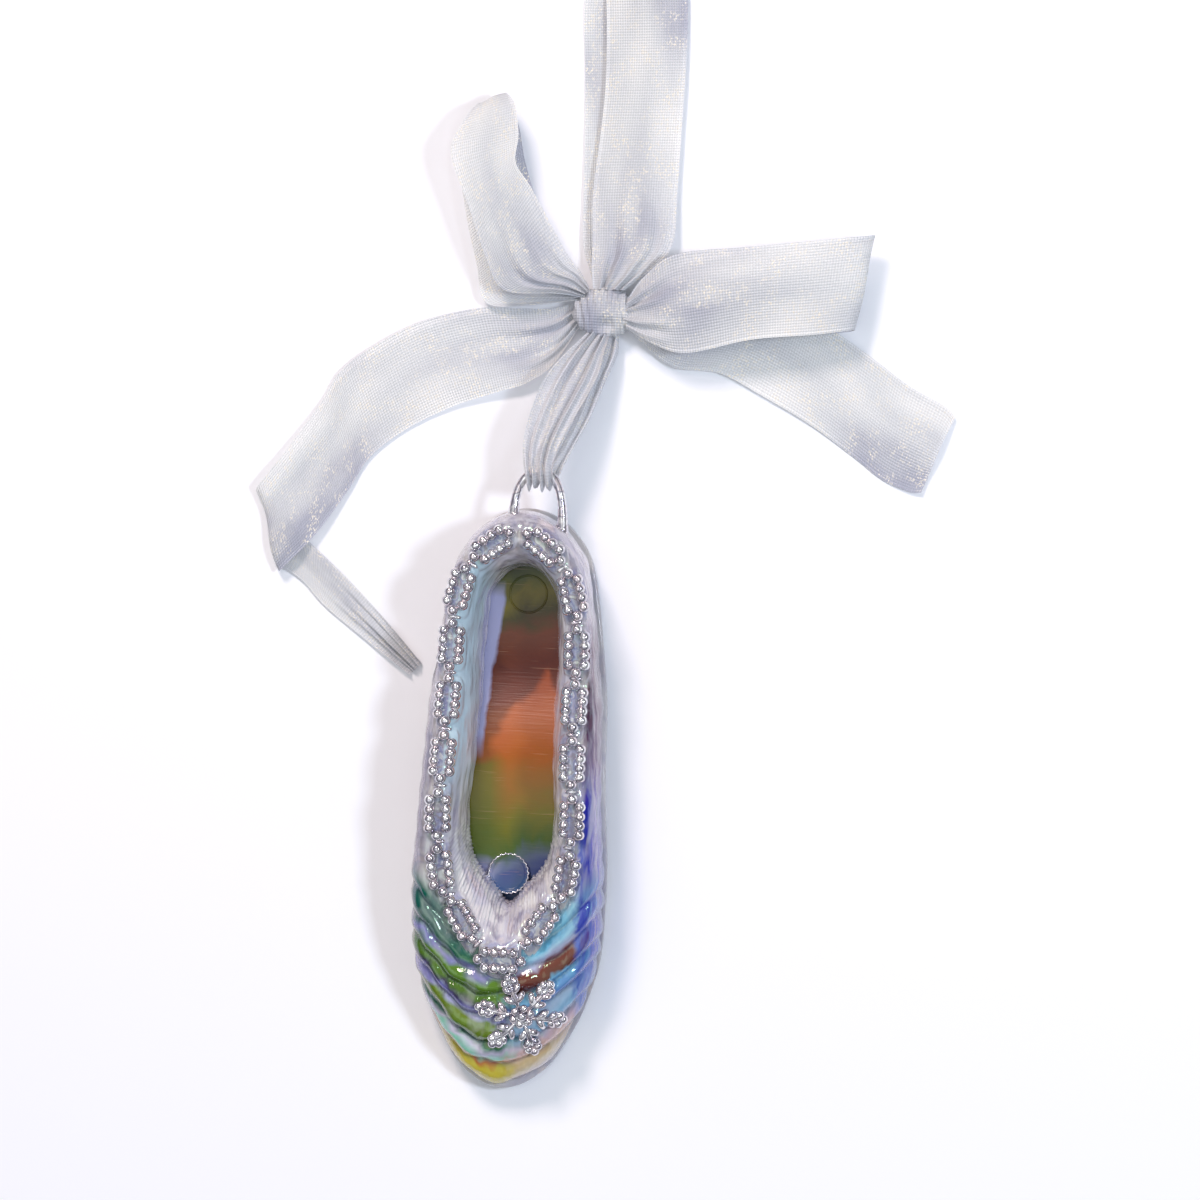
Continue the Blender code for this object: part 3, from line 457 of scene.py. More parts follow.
# Outlines as (share of the way from heel to toe, share of the half width)
LAST_OUTLINE = [
    (0.000, 0.000), (0.027, 0.427), (0.089, 0.689), (0.160, 0.780), (0.248, 0.854), (0.342, 0.924),
    (0.436, 0.948), (0.533, 0.976), (0.622, 1.000), (0.697, 0.991), (0.762, 0.970), (0.856, 0.823),
    (0.916, 0.649), (0.950, 0.521), (0.985, 0.287), (1.000, 0.000),
]
COLLAR_OUTLINE = [
    (0.000, 0.000), (0.028, 0.435), (0.083, 0.722), (0.141, 0.861), (0.268, 0.939), (0.398, 0.948),
    (0.525, 0.965), (0.657, 1.000), (0.786, 0.948), (0.843, 0.835), (0.909, 0.591), (0.967, 0.313),
    (1.000, 0.000),
]
FLOOR_OUTLINE = [
    (0.000, 0.000), (0.030, 0.500), (0.099, 0.795), (0.250, 0.877), (0.413, 0.877), (0.573, 0.918),
    (0.740, 1.000), (0.833, 0.959), (0.890, 0.760), (0.950, 0.370), (1.000, 0.000),
]
# How much of the heel's, waist's and throat's height the collar has, at shares of the length
RIM = [
    (0.000, 1.00, 0.00, 0.00), (0.100, 1.00, 0.00, 0.00), (0.300, 0.40, 0.60, 0.00),
    (0.500, 0.00, 1.00, 0.00), (0.640, 0.00, 0.70, 0.30), (0.774, 0.00, 0.00, 1.00),
]
# How square the outer wall turns over, at shares of the way round
SHOULDER = [(0.00, 3.2), (0.55, 3.3), (0.72, 2.7), (0.86, 1.9), (1.00, 1.3)]
# Where each crease crosses the centre line, as a share of the length, and the rise of its fold
FOLDS = [
    (0.705, 0.0), (0.752, 0.7), (0.796, 0.9), (0.836, 1.0), (0.874, 1.0), (0.918, 1.0),
    (0.956, 0.9), (1.000, 0.7),
]


def eased(at, places, values):
    """Smooth curve through the rows, level at its highs and lows: Hermite with harmonic slopes."""
    places, values = np.array(places, float), np.array(values, float)
    step = np.diff(places)
    rise = np.diff(values) / step
    slope = np.zeros(len(places))
    same = np.flatnonzero(rise[:-1] * rise[1:] > 0)
    slope[same + 1] = 2 / (1 / rise[same] + 1 / rise[same + 1])
    slope[0], slope[-1] = rise[0], rise[-1]
    at = np.clip(at, places[0], places[-1])
    k = np.clip(np.searchsorted(places, at, side="right") - 1, 0, len(step) - 1)
    t = (at - places[k]) / step[k]
    pull_in, pull_out = slope[k] * step[k], slope[k + 1] * step[k]
    start, end = values[k], values[k + 1]
    ease_in = start * (1 + 2 * t) * (1 - t) ** 2 + pull_in * t * (1 - t) ** 2
    return ease_in + end * t**2 * (3 - 2 * t) - pull_out * t**2 * (1 - t)


def half_width(rows, share):
    """Half width of an outline, smooth in its square, so that both ends are round."""
    places, widths = np.array(rows).T
    return np.sqrt(np.maximum(eased(share, places, widths**2), 0))


def plan_curve(rows, start, end, width):
    """Half an outline from heel to toe as (share of its own length, across, along)."""
    share = (1 - np.cos(np.pi * np.linspace(0, 1, 3 * DENSE))) / 2
    along = start + share * (end - start)
    across = half_width(rows, share) * width / 2
    length = np.concatenate([[0], np.cumsum(np.hypot(np.diff(across), np.diff(along)))])
    return length / length[-1], across, along


def on_plan(curve, share):
    """Points (across, along) at shares of a plan curve's length."""
    return np.stack([np.interp(share, curve[0], c) for c in curve[1:]], -1)


def ease(t):
    """0 to 1 with level ends: 3 t squared less 2 t cubed."""
    t = np.clip(t, 0, 1)
    return t * t * (3 - 2 * t)


def underside(along):
    """Height of the sole's underside: two flats, the arch between them and the toe spring."""
    middle = (HEEL_FLAT_END + BALL_FLAT_START) / 2
    up = ease((along - HEEL_FLAT_END) / (middle - HEEL_FLAT_END))
    down = ease((BALL_FLAT_START - along) / (BALL_FLAT_START - middle))
    spring = np.clip((along - BALL_FLAT_END) / (LENGTH - BALL_FLAT_END), 0, 1)
    return ARCH_RISE * np.minimum(up, down) + TOE_SPRING * spring**2


def collar_height(along):
    """Height of the collar above the floor: a blend of the heel's, the waist's and the throat's."""
    places, *shares = np.array(RIM).T
    heights = (HEEL_HEIGHT, WAIST_HEIGHT, THROAT_HEIGHT)
    own = sum(h * eased(along / LENGTH, places, share) for h, share in zip(heights, shares))
    return underside(along) + own


OUTER_LINE = plan_curve(LAST_OUTLINE, LIP, LENGTH - LIP, BALL_WIDTH - 2 * LIP)
COLLAR_LINE = plan_curve(COLLAR_OUTLINE, COLLAR_START, THROAT, COLLAR_WIDTH)
WELL_LINE = plan_curve(FLOOR_OUTLINE, FLOOR_START, FLOOR_END, FLOOR_WIDTH)


def wall_sections(share, inset, well_power):
    """The wall's sections at shares of the way round: outer wall up to the collar, then the well wall.

    Both turn over as a superellipse, and inset moves them that far into the wall.
    """
    outer, rim, well = (on_plan(c, share)[:, None] for c in (OUTER_LINE, COLLAR_LINE, WELL_LINE))
    turn = np.linspace(0, np.pi / 2, DENSE)[None, :]
    places, powers = np.array(SHOULDER).T
    power = eased(share, places, powers)[:, None]
    inwards = 1 - np.cos(turn) ** (2 / power)
    upwards = np.sin(turn) ** (2 / power)
    reach = np.linalg.norm(rim - outer, axis=-1)
    lean = TUCK * (1 - np.minimum(upwards / BELLY, 1)) ** 2
    depth = np.minimum(inset + inwards * (reach - inset) + lean, reach)
    plan = outer + (rim - outer) * (depth / reach)[..., None]
    crest = collar_height(rim[..., 1]) - inset
    foot = underside(plan[:, :1, 1]) + SOLE_THICKNESS + SEAM_GAP
    wall = np.dstack([plan, foot + upwards * (crest - foot)])
    inwards = np.sin(turn) ** (2 / well_power)
    upwards = np.cos(turn) ** (2 / well_power)
    reach = np.linalg.norm(well - rim, axis=-1)
    plan = rim + (well - rim) * (inwards * (1 - inset / reach))[..., None]
    foot = underside(plan[:, -1:, 1]) + SOLE_THICKNESS + SEAM_GAP
    inner = np.dstack([plan, foot + upwards * (crest - foot)])
    return wall, inner


def spaced(curves, rows):
    """Each curve's points moved to even steps along it."""
    gone = np.cumsum(np.linalg.norm(np.diff(curves, axis=1), axis=-1), axis=1)
    gone = np.concatenate([np.zeros((len(curves), 1)), gone], axis=1)
    marks = np.linspace(0, 1, rows)
    return np.array(
        [
            np.stack([np.interp(marks * g[-1], g, curve[:, k]) for k in range(3)], -1)
            for g, curve in zip(gone, curves)
        ]
    )


def to_row(points, side):
    """Points (across, along, height) of one side in the frame's coordinates."""
    return np.stack([points[..., 0] * side, HEEL - points[..., 1], points[..., 2]], -1)


def last_edge(along):
    """Half width of the last at a distance along it."""
    return half_width(LAST_OUTLINE, np.clip(along / LENGTH, 0, 1)) * BALL_WIDTH / 2


def drape(across, along):
    """Distance along the centre line at which the fold through a place crosses it."""
    edge = last_edge(along)
    sweep = FOLD_SWEEP * (1 - 0.5 * ease((along - 0.082) / 0.016))
    return along + sweep * np.clip(across / np.maximum(edge, 0.001), 0, 1) ** 2


def fold_relief(across, along, side):
    """Rise of the draped folds: rounded ridges, fuller at the front, with a sharp crease between.

    They wander a little and flatten out towards the sides of the last.
    """
    x = across * side
    wander = 0.0006 * np.sin(x / 0.0027 + 1) + 0.0003 * np.sin((along + x) / 0.0013)
    swept = drape(across, along) + wander
    creases, rises = np.array(FOLDS).T
    creases = creases * LENGTH
    k = np.clip(np.searchsorted(creases, swept, side="right"), 1, len(FOLDS) - 1)
    t = np.clip((swept - creases[k - 1]) / (creases[k] - creases[k - 1]), 0, 1)
    edge = last_edge(along)
    flatter = 1 - FOLD_SIDE_LOSS * ease((across / np.maximum(edge, 0.001) - 0.55) / 0.4)
    return FOLD_DEPTH * rises[k] * np.sin(np.pi * t**1.25) ** 0.75 * flatter


def pad_relief(round_collar, from_crest, length):
    """Rise of the trim's pads: rounded ovals end to end along the collar, from their own middles."""
    pitch = length / (PADS_A_SIDE + 0.5)
    nearest = np.clip(np.round(round_collar / pitch - 0.5), 0, PADS_A_SIDE) + 0.5
    u = (round_collar - nearest * pitch) / (PAD_LENGTH / 2)
    w = from_crest / (PAD_WIDTH / 2)
    return PAD_RISE * np.maximum(1 - np.abs(u) ** 3 - np.abs(w) ** 3, 0) ** 0.4


def upper_grids():
    """The shown face of the wall, smooth and with its relief, its hollow face and its marks.

    Columns go round the last, rows up the outer wall, over the collar and down the well. Relief
    moves a point along the smooth face's normal.
    """
    turn = 2 * np.arange(UPPER_COLUMNS) / UPPER_COLUMNS
    share = np.where(turn <= 1, turn, 2 - turn)
    side = np.where(turn <= 1, 1.0, -1.0)[:, None]
    wall, inner = wall_sections(share, 0.0, 2.0)
    wall, inner = spaced(wall, OUTER_ROWS), spaced(inner, WELL_ROWS + 1)
    collar = on_plan(COLLAR_LINE, np.linspace(0, 1, DENSE))
    collar_length = np.linalg.norm(np.diff(collar, axis=0), axis=-1).sum()
    plain = np.concatenate([to_row(wall, side), to_row(inner[:, 1:], side)], axis=1)
    from_crest = np.linalg.norm(plain - plain[:, OUTER_ROWS - 1 : OUTER_ROWS], axis=-1)
    across, along = np.abs(plain[..., 0]), HEEL - plain[..., 1]
    edge = last_edge(along)
    outside = (np.arange(plain.shape[1]) < OUTER_ROWS)[None, :] * np.ones((UPPER_COLUMNS, 1))
    folds = fold_relief(across, along, side) * ease(from_crest / FOLD_FADE - 0.5) * outside
    pads = pad_relief(share[:, None] * collar_length, from_crest, collar_length)
    # Flow lines of the moulding: shallow waves down the walls, deeper where the well runs to a V
    flow = np.sin(along / 0.0019 + 3 * side) * np.sin(plain[..., 2] / 0.006 + 1)
    flow += 0.6 * np.sin(along / 0.0008 + from_crest / 0.003)
    flute = np.sin(2 * np.pi * share[:, None] * 95 + 2 * np.sin(from_crest / 0.002 + 4 * side))
    flute *= 0.6 + 0.4 * np.sin(2 * np.pi * share[:, None] * 37)
    in_well = ease(from_crest / 0.003 - 0.6) * (1 - outside)
    flutes = WELL_FLUTE * flute * in_well * ease((along - 0.052) / 0.010)
    ripples = SIDE_RIPPLE * flow * ease(from_crest / 0.004 - 0.5) * (1 - ease((along - 0.06) / 0.01))
    round_it = np.roll(plain, -1, axis=0) - np.roll(plain, 1, axis=0)
    normal = unit(np.cross(round_it, np.gradient(plain, axis=1)))
    normal *= np.sign((normal[:, : OUTER_ROWS // 2, 0] * side).sum())
    normal[:, [0, -1]] *= (1, 1, 0)
    shown = plain + normal * (folds + pads + flutes + ripples)[..., None]
    over_folds = plain + normal * (FOLD_DEPTH * 0.75 * outside)[..., None]
    hollow_wall, hollow_inner = wall_sections(share, WALL, 2.4)
    hollow_wall = spaced(hollow_wall, CAVITY_ROWS)
    hollow_inner = spaced(hollow_inner, CAVITY_ROWS // 2)[:, 1:]
    hollow = to_row(np.concatenate([hollow_wall, hollow_inner], axis=1)[:, ::-1], side)
    marks = {
        "drape": drape(across, along),
        "well": 1 - outside,
        "trim": pads / PAD_RISE,
        "crease": folds / FOLD_DEPTH,
        "sideways": across / (edge + 1e-6),
    }
    return shown, over_folds, hollow, marks


# Colours of the coat over the toe, left and right of the middle, from (drape in mm, hex colour)
DRAPE_RANGE = (0.068, 0.104)
# The pale lavender and mint stops at 93.2 and 94.4 mm on the left are a painted highlight band
TOE_LEFT = [
    (69.0, "#A5A2CC"), (71.5, "#0A6E58"), (77.0, "#045A50"), (79.2, "#1A6444"), (80.4, "#8D89CC"),
    (81.6, "#5E8A14"), (84.6, "#4E7410"), (85.6, "#3A2E52"), (86.8, "#7C7AC8"), (88.2, "#A8A5DC"),
    (89.2, "#6E8612"), (91.2, "#6A8A14"), (92.2, "#1E6A4A"), (93.2, "#D9D3EE"), (94.4, "#8FE8C4"),
    (95.4, "#D97A3A"), (96.4, "#E2D046"), (98.8, "#E4D650"), (100.6, "#F4EAB8"), (102.5, "#F6EAE2"),
]
TOE_RIGHT = [
    (69.0, "#D3E4F0"), (72.5, "#8FD2EC"), (77.5, "#6FBFE4"), (79.3, "#C4C8E8"), (80.6, "#7C2E26"),
    (82.8, "#6A342C"), (83.6, "#7CC2E6"), (86.5, "#5F8CD2"), (88.5, "#B4CCEA"), (91.5, "#74B8DC"),
    (93.5, "#D9BCCC"), (94.8, "#ECC4B4"), (96.4, "#E8CA98"), (97.8, "#EEDFC0"), (99.4, "#F0E6E0"),
    (103.5, "#F2E4DA"),
]
CLEAR_TINTS = [(0.32, "#FFFFFF"), (0.46, "#F4F2F5"), (0.58, "#DEDDEC"), (0.70, "#FBF0EE")]
# Painted reflections: dark streaks that the clear walls' colour is multiplied by
PAINTED_STREAKS = [(0.34, "#C2BECA"), (0.44, "#EEECF1"), (0.52, "#FFFFFF")]
PAD_TINTS = [(0.34, "#F2F4FA"), (0.42, "#8286C0"), (0.50, "#B4B8DA"), (0.58, "#9A8EA4"), (0.68, "#F0F8F6")]
RIGHT_SIDE = [
    (0.00, "#A99AAC"), (0.12, "#6E4A5A"), (0.30, "#5A3242"), (0.44, "#6A4A70"), (0.53, "#2E2CB0"),
    (0.75, "#3E48BC"), (0.92, "#5C7CC8"), (1.00, "#B9C6E0"),
]
# Painted shade along the left edge of the outer wall
LEFT_EDGE_SHADE = "#857C90"
# Painted shade in the creases between the toe's folds
CREASE_SHADE = "#4A4860"
# Painted light: a bright cyan strip on the well's left wall
PAINTED_WELL_LIGHT = "#D6F2FF"
CLEARNESS = (0.50, 0.20)  # share of the light let through by clear and by painted plastic


def stops_in(span, rows):
    """A colour ramp's stops over a span in metres, from rows of (millimetres, hex colour)."""
    low, high = span
    return [((mm / 1000 - low) / (high - low), code) for mm, code in rows]


def clear_plastic():
    """Clear polystyrene under a colour-changing vacuum coat: bright, glassy, tinted by place, with painted
    reflection streaks, shade and light.

    Half of the light goes through it and half is thrown back milky, as many thin wet-looking walls
    over a white floor do.
    """
    made, tree = new_material("aurora_coated_polystyrene")
    place = add(tree, "TexCoord").node.outputs["Object"]
    x = add(tree, "SeparateXYZ", place)
    y = x.node.outputs["Y"]
    drape_mark, well, trim, sideways, crease = (
        add(tree, "Attribute", attribute_name=name).node.outputs["Fac"]
        for name in ("drape", "well", "trim", "sideways", "crease")
    )
    cloud = add(tree, "TexNoise", place, 110.0, 2.0, None, None, 1.5)
    stretched = add(tree, "Mapping", place, None, None, (1.0, 0.16, 1.0))
    streak = add(tree, "TexNoise", stretched, 560.0, 3.0)
    fleck = add(tree, "TexNoise", place, 430.0, 3.0, None, None, 0.8)

    tint = add(tree, "ValToRGB", cloud, stops=CLEAR_TINTS)
    # Painted reflections: the tint is darkened in streaks, as clear walls mirror dark surroundings
    painted_streaks = add(tree, "ValToRGB", streak, stops=PAINTED_STREAKS)
    base = add(tree, "Mix", 1.0, tint, painted_streaks, data_type="RGBA", blend_type="MULTIPLY")

    # The pads of the trim: lavender blue in the middle, with specks of other tints
    field = add(tree, "ValToRGB", fleck, stops=PAD_TINTS)
    inner_pad = add(tree, "MapRange", trim, 0.45, 0.95, 0.0, 0.9)
    base = add(tree, "Mix", inner_pad, base, field, data_type="RGBA")

    # The toe: bands of colour along the folds, others left of the middle than right of it
    bend = add(tree, "Math", cloud, 0.0050, -0.0025, operation="MULTIPLY_ADD")
    swept = add(tree, "Math", drape_mark, bend, operation="ADD")
    band = add(tree, "MapRange", swept, *DRAPE_RANGE)
    left, right = (
        add(tree, "ValToRGB", band, stops=stops_in(DRAPE_RANGE, rows)) for rows in (TOE_LEFT, TOE_RIGHT)
    )
    wavy_x = add(tree, "Math", fleck, 0.006, -0.003, operation="MULTIPLY_ADD")
    wavy_x = add(tree, "Math", wavy_x, x, operation="ADD")
    right_share = add(tree, "MapRange", wavy_x, -0.0005, 0.0040, interpolation_type="SMOOTHSTEP")
    toe = add(tree, "Mix", right_share, left, right, data_type="RGBA")
    patchy = add(tree, "Mapping", place, None, (0.0, 0.0, 0.5), (1.0, 0.55, 1.0))
    patch = add(tree, "TexNoise", patchy, 155.0, 2.0, None, None, 1.0)
    patch = add(tree, "MapRange", patch, 0.34, 0.42, 0.82, 1.0)
    on_toe = add(tree, "MapRange", drape_mark, 0.0700, 0.0735)
    outside = add(tree, "Math", 1.0, well, operation="SUBTRACT")
    off_trim = add(tree, "MapRange", trim, 0.0, 0.3, 1.0, 0.0)
    inwards = add(tree, "MapRange", sideways, 0.94, 1.0, 1.0, 0.3)
    vivid = add(tree, "Math", on_toe, outside, operation="MULTIPLY")
    for share in (off_trim, inwards, patch):
        vivid = add(tree, "Math", vivid, share, operation="MULTIPLY")
    base = add(tree, "Mix", vivid, base, toe, data_type="RGBA")
    # Painted shade: dark lines in the creases between the folds, and a darker left edge
    painted_crease_shade = add(tree, "MapRange", crease, 0.02, 0.30, 0.5, 0.0)
    for share in (on_toe, outside, off_trim):
        painted_crease_shade = add(tree, "Math", painted_crease_shade, share, operation="MULTIPLY")
    base = add(tree, "Mix", painted_crease_shade, base, paint(CREASE_SHADE), data_type="RGBA")
    edge = add(tree, "Math", add(tree, "MapRange", x, -0.0128, -0.0152), outside, operation="MULTIPLY")
    behind = add(tree, "MapRange", drape_mark, 0.072, 0.066, 0.0, 0.8)
    edge = add(tree, "Math", edge, behind, operation="MULTIPLY")
    base = add(tree, "Mix", edge, base, paint(LEFT_EDGE_SHADE), data_type="RGBA")

    # The right side: maroon behind, deep blue and violet in front
    to_toe = add(tree, "MapRange", y, 0.042, -0.045)
    side_colour = add(tree, "ValToRGB", to_toe, stops=RIGHT_SIDE)
    wavy_edge = add(tree, "Math", fleck, 0.0024, x, operation="MULTIPLY_ADD")
    flank = add(tree, "MapRange", wavy_edge, 0.0132, 0.0144, interpolation_type="SMOOTHSTEP")
    flank = add(tree, "Math", flank, outside, operation="MULTIPLY")
    broken = add(tree, "MapRange", streak, 0.45, 0.6, 1.0, 0.55)
    flank = add(tree, "Math", flank, broken, operation="MULTIPLY")
    base = add(tree, "Mix", flank, base, side_colour, data_type="RGBA")

    # Painted light: a bright strip of pale cyan on the left wall of the well, strongest high up
    painted_well_light = add(tree, "Math", well, add(tree, "MapRange", x, -0.0035, -0.0060), operation="MULTIPLY")
    painted_well_light = add(tree, "Math", painted_well_light, add(tree, "MapRange", y, -0.006, 0.004), operation="MULTIPLY")
    high = add(tree, "MapRange", x.node.outputs["Z"], 0.0065, 0.0095, 0.25, 1.0)
    painted_well_light = add(tree, "Math", painted_well_light, high, operation="MULTIPLY")
    base = add(tree, "Mix", painted_well_light, base, paint(PAINTED_WELL_LIGHT), data_type="RGBA")

    painted = add(tree, "Math", vivid, flank, operation="MAXIMUM")
    painted = add(tree, "Math", painted, well, operation="MAXIMUM")
    clearness = add(tree, "MapRange", painted, 0.0, 1.0, *CLEARNESS)
    dull = add(tree, "MapRange", fleck, 0.3, 0.7, 0.04, 0.14)
    swell = add(tree, "TexNoise", add(tree, "Mapping", place, None, None, (1.0, 0.4, 1.0)), 330.0, 2.0)
    ripple = add(tree, "Bump", 1.0, 0.0009, None, swell)
    wire(tree, {
        "Base Color": base, "Transmission Weight": clearness, "Roughness": dull, "Normal": ripple,
        "IOR": 1.5, "Coat Weight": 0.6, "Coat Roughness": 0.03, "Thin Film Thickness": 420.0,
        "Thin Film IOR": 1.6,
    })
    return made


plastic = clear_plastic()
shown_grid, smooth_grid, hollow_grid, upper_marks = upper_grids()
whole_grid = np.concatenate([shown_grid, hollow_grid], axis=1)
unseen = np.zeros(hollow_grid.shape[:2])
upper = surface(
    "upper_shell",
    whole_grid,
    grid_faces(*whole_grid.shape[:2], wrap_rows=True, wrap_columns=True),
    plastic,
    marks={name: np.concatenate([values, unseen], axis=1) for name, values in upper_marks.items()},
)
close_poles(upper)
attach(upper, "root")
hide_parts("upper")

# The beads of the trim
# Moulded with the upper: ten round beads in an oval on each pad of the collar, silvered where the
# coat is thickest, and a short tie bar between one oval and the next.
BEAD_RADIUS = 0.00096
BEAD_PAIRS = (-0.0024, -0.0008, 0.0008, 0.0024)  # along the oval
BEAD_ROW = 0.00138  # across it
BEAD_END = 0.0037
BEAD_SINK = 0.00035
TIE_LENGTH = 0.0012
TIE_WIDTH = 0.00045
TIE_STEP = 0.004  # share of the way round that gives the collar's direction
DROP_FROM = 0.004  # above a place, where the search for the shell under it starts
DROP = 0.009
BEAD_ROUND = 16
BEAD_ROWS = 10
# Painted glints: dark and white patches in the silvered plastic's colour, with its tints
SILVER_TINTS_AND_GLINTS = [
    (0.34, "#C9C7D2"), (0.42, "#FFFFFF"), (0.50, "#A3A0B0"), (0.57, "#EFE4E6"), (0.66, "#D3D1DB"),
]


def lobes(name, centres, frames, sizes, material):
    """Many smooth rounded lobes as one mesh: a unit ball stretched by sizes along each one's frame.

    frames holds three unit rows a lobe, the ball's x, y and z, and sizes the half lengths along them.
    """
    turn = turns(BEAD_ROUND)[None, :]
    lean = np.linspace(-np.pi / 2, np.pi / 2, BEAD_ROWS)[:, None]
    x, y, z = np.cos(lean) * np.cos(turn), np.cos(lean) * np.sin(turn), np.sin(lean) + 0 * turn
    ball = np.stack([x, y, z], axis=-1).reshape(-1, 3)
    local = ball[None] * np.asarray(sizes)[:, None]
    points = np.asarray(centres)[:, None] + np.einsum("npk,nkc->npc", local, np.asarray(frames))
    one = np.array(grid_faces(BEAD_ROWS, BEAD_ROUND, wrap_columns=True))
    faces = (one[None] + len(ball) * np.arange(len(centres))[:, None, None]).reshape(-1, 4).tolist()
    made = surface(name, points, faces, material)
    close_poles(made)
    return made


def silvered():
    """The same plastic where the coat lies thickest: bright mirror domes, tinted, with painted dark and
    white glints in their colour.
    """
    made, tree = new_material("silvered_polystyrene")
    place = add(tree, "TexCoord").node.outputs["Object"]
    tint = add(tree, "ValToRGB", add(tree, "TexNoise", place, 420.0, 1.0), stops=SILVER_TINTS_AND_GLINTS)
    wire(tree, {
        "Base Color": tint, "Metallic": 0.8, "Roughness": 0.12, "Coat Weight": 0.8,
        "Coat Roughness": 0.03,
    })
    return made


def tree_of(grid):
    """The search tree of a closed band of grid points."""
    faces = grid_faces(*grid.shape[:2], wrap_rows=True)
    return BVHTree.FromPolygons(grid.reshape(-1, 3).tolist(), faces)


def laid_on(shell, point, up):
    """The place on a shell under a point, looking down along -up, or the point itself."""
    found = shell.ray_cast(Vector(point) + Vector(up) * DROP_FROM, -Vector(up), DROP)[0]
    return np.array(point if found is None else found)


def trim_beads(material):
    """Beads and tie bars, each in the frame of its pad (forward, outward, up) and laid on the shell."""
    shell = tree_of(shown_grid)
    centres, frames, sizes = [], [], []

    def crest_at(share, side):
        """The top of the collar at a share of the way round."""
        wall, _ = wall_sections(np.array([share]), 0.0, 2.0)
        return to_row(wall[0, -1], side)

    def frame_at(share, side):
        """Forward along the collar, outward across it, and up."""
        forward = crest_at(min(share + TIE_STEP, 1), side) - crest_at(share - TIE_STEP, side)
        if share == 1:
            forward = np.array([1.0, 0.0, 0.0])
        forward = unit(forward)
        outward = unit(np.cross(forward, (0, 0, 1)))
        up = np.cross(outward, forward)
        return np.array([forward, outward, up * np.sign(up[2])])

    pads = [(share, side) for share in (np.arange(PADS_A_SIDE) + 0.5) for side in (1, -1)]
    for share, side in [*pads, (PADS_A_SIDE + 0.5, 1)]:
        share = share / (PADS_A_SIDE + 0.5)
        middle, own = crest_at(share, side), frame_at(share, side)
        spots = [(a, w) for a in BEAD_PAIRS for w in (-BEAD_ROW, BEAD_ROW)]
        for a, w in [*spots, (-BEAD_END, 0.0), (BEAD_END, 0.0)]:
            on = laid_on(shell, middle + own[0] * a + own[1] * w, own[2])
            centres.append(on + own[2] * (BEAD_RADIUS - BEAD_SINK))
            frames.append(own)
            sizes.append((BEAD_RADIUS,) * 3)
    for share, side in [(k + 1.0, side) for k in range(PADS_A_SIDE) for side in (1, -1)]:
        share = share / (PADS_A_SIDE + 0.5)
        own = frame_at(share, side)
        centres.append(laid_on(shell, crest_at(share, side), own[2]) + own[2] * TIE_WIDTH / 2)
        frames.append(own[[1, 0, 2]])
        sizes.append((TIE_LENGTH, TIE_WIDTH, TIE_WIDTH))
    return lobes("trim_beads", centres, frames, sizes, material)


silver = silvered()
beads = trim_beads(silver)
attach(beads, "root")

# The snowflake on the vamp
# Moulded with the upper too: six arms of a spine with two pairs of leaves, a trefoil of beads at
# each tip and a cluster of beads in the middle. It stands on top of the folds.
FLAKE_CENTRE = (0.0040, 0.0868)  # across and along
FLAKE_RADIUS = 0.0070
FLAKE_TURN = np.radians(-18)
FLAKE_ARMS = 6
LEAVES = [(0.38, 0.36, 46), (0.66, 0.30, 46)]  # place and length as shares of the radius, degrees
LEAF_WIDTH = 0.00066
SPINE_WIDTH = 0.00058
TIP_BEAD = 0.00084
TREFOIL = [(0.0, 0.5), (0.95, -0.45), (-0.95, -0.45)]  # sideways and beyond the tip, in beads
HUB_BEAD = 0.00078
HUB_RING = 0.00150
FLAKE_LIFT = 0.00030


def snowflake(material):
    """Lobes laid out in the flake's plane and then laid on the folds' tops."""
    shell = tree_of(smooth_grid)
    start = Vector((FLAKE_CENTRE[0], HEEL - FLAKE_CENTRE[1], 2 * HEEL_HEIGHT))
    found, normal, _, _ = shell.ray_cast(start, Vector((0, 0, -1)))
    middle, up = np.array(found), np.array(normal) * np.sign(normal.z)
    ahead = unit(np.cross(up, (1.0, 0.0, 0.0)))
    right = np.cross(ahead, up)
    centres, frames, sizes = [], [], []

    def lobe(foot, tip, width):
        """A long lobe from foot to tip."""
        foot, tip = laid_on(shell, foot, up), laid_on(shell, tip, up)
        line = tip - foot
        length = np.linalg.norm(line)
        line = line / length
        beside = unit(np.cross(up, line))
        centres.append((foot + tip) / 2 + up * FLAKE_LIFT)
        frames.append(np.array([line, beside, np.cross(line, beside)]))
        sizes.append((length / 2, width, width * 1.3))

    def bead(at, radius):
        """A round lobe."""
        centres.append(laid_on(shell, at, up) + up * FLAKE_LIFT)
        frames.append(np.array([right, ahead, up]))
        sizes.append((radius,) * 3)

    for angle in FLAKE_TURN + turns(FLAKE_ARMS):
        spine = right * np.sin(angle) + ahead * np.cos(angle)
        side = right * np.cos(angle) - ahead * np.sin(angle)
        lobe(middle + spine * HUB_RING, middle + spine * FLAKE_RADIUS * 0.95, SPINE_WIDTH)
        for at, length, degrees in LEAVES:
            root, lean = middle + spine * FLAKE_RADIUS * at, np.radians(degrees)
            for way in (1, -1):
                out = spine * np.cos(lean) + side * way * np.sin(lean)
                lobe(root, root + out * FLAKE_RADIUS * length, LEAF_WIDTH)
        for sidewise, beyond in TREFOIL:
            at = middle + spine * (FLAKE_RADIUS + beyond * TIP_BEAD) + side * sidewise * TIP_BEAD
            bead(at, TIP_BEAD)
        bead(middle + (side * 0.5 + spine * 0.87) * HUB_RING, HUB_BEAD)
    bead(middle, HUB_BEAD * 1.2)
    return lobes("snowflake", centres, frames, sizes, material)


flake = snowflake(silver)
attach(flake, "root")

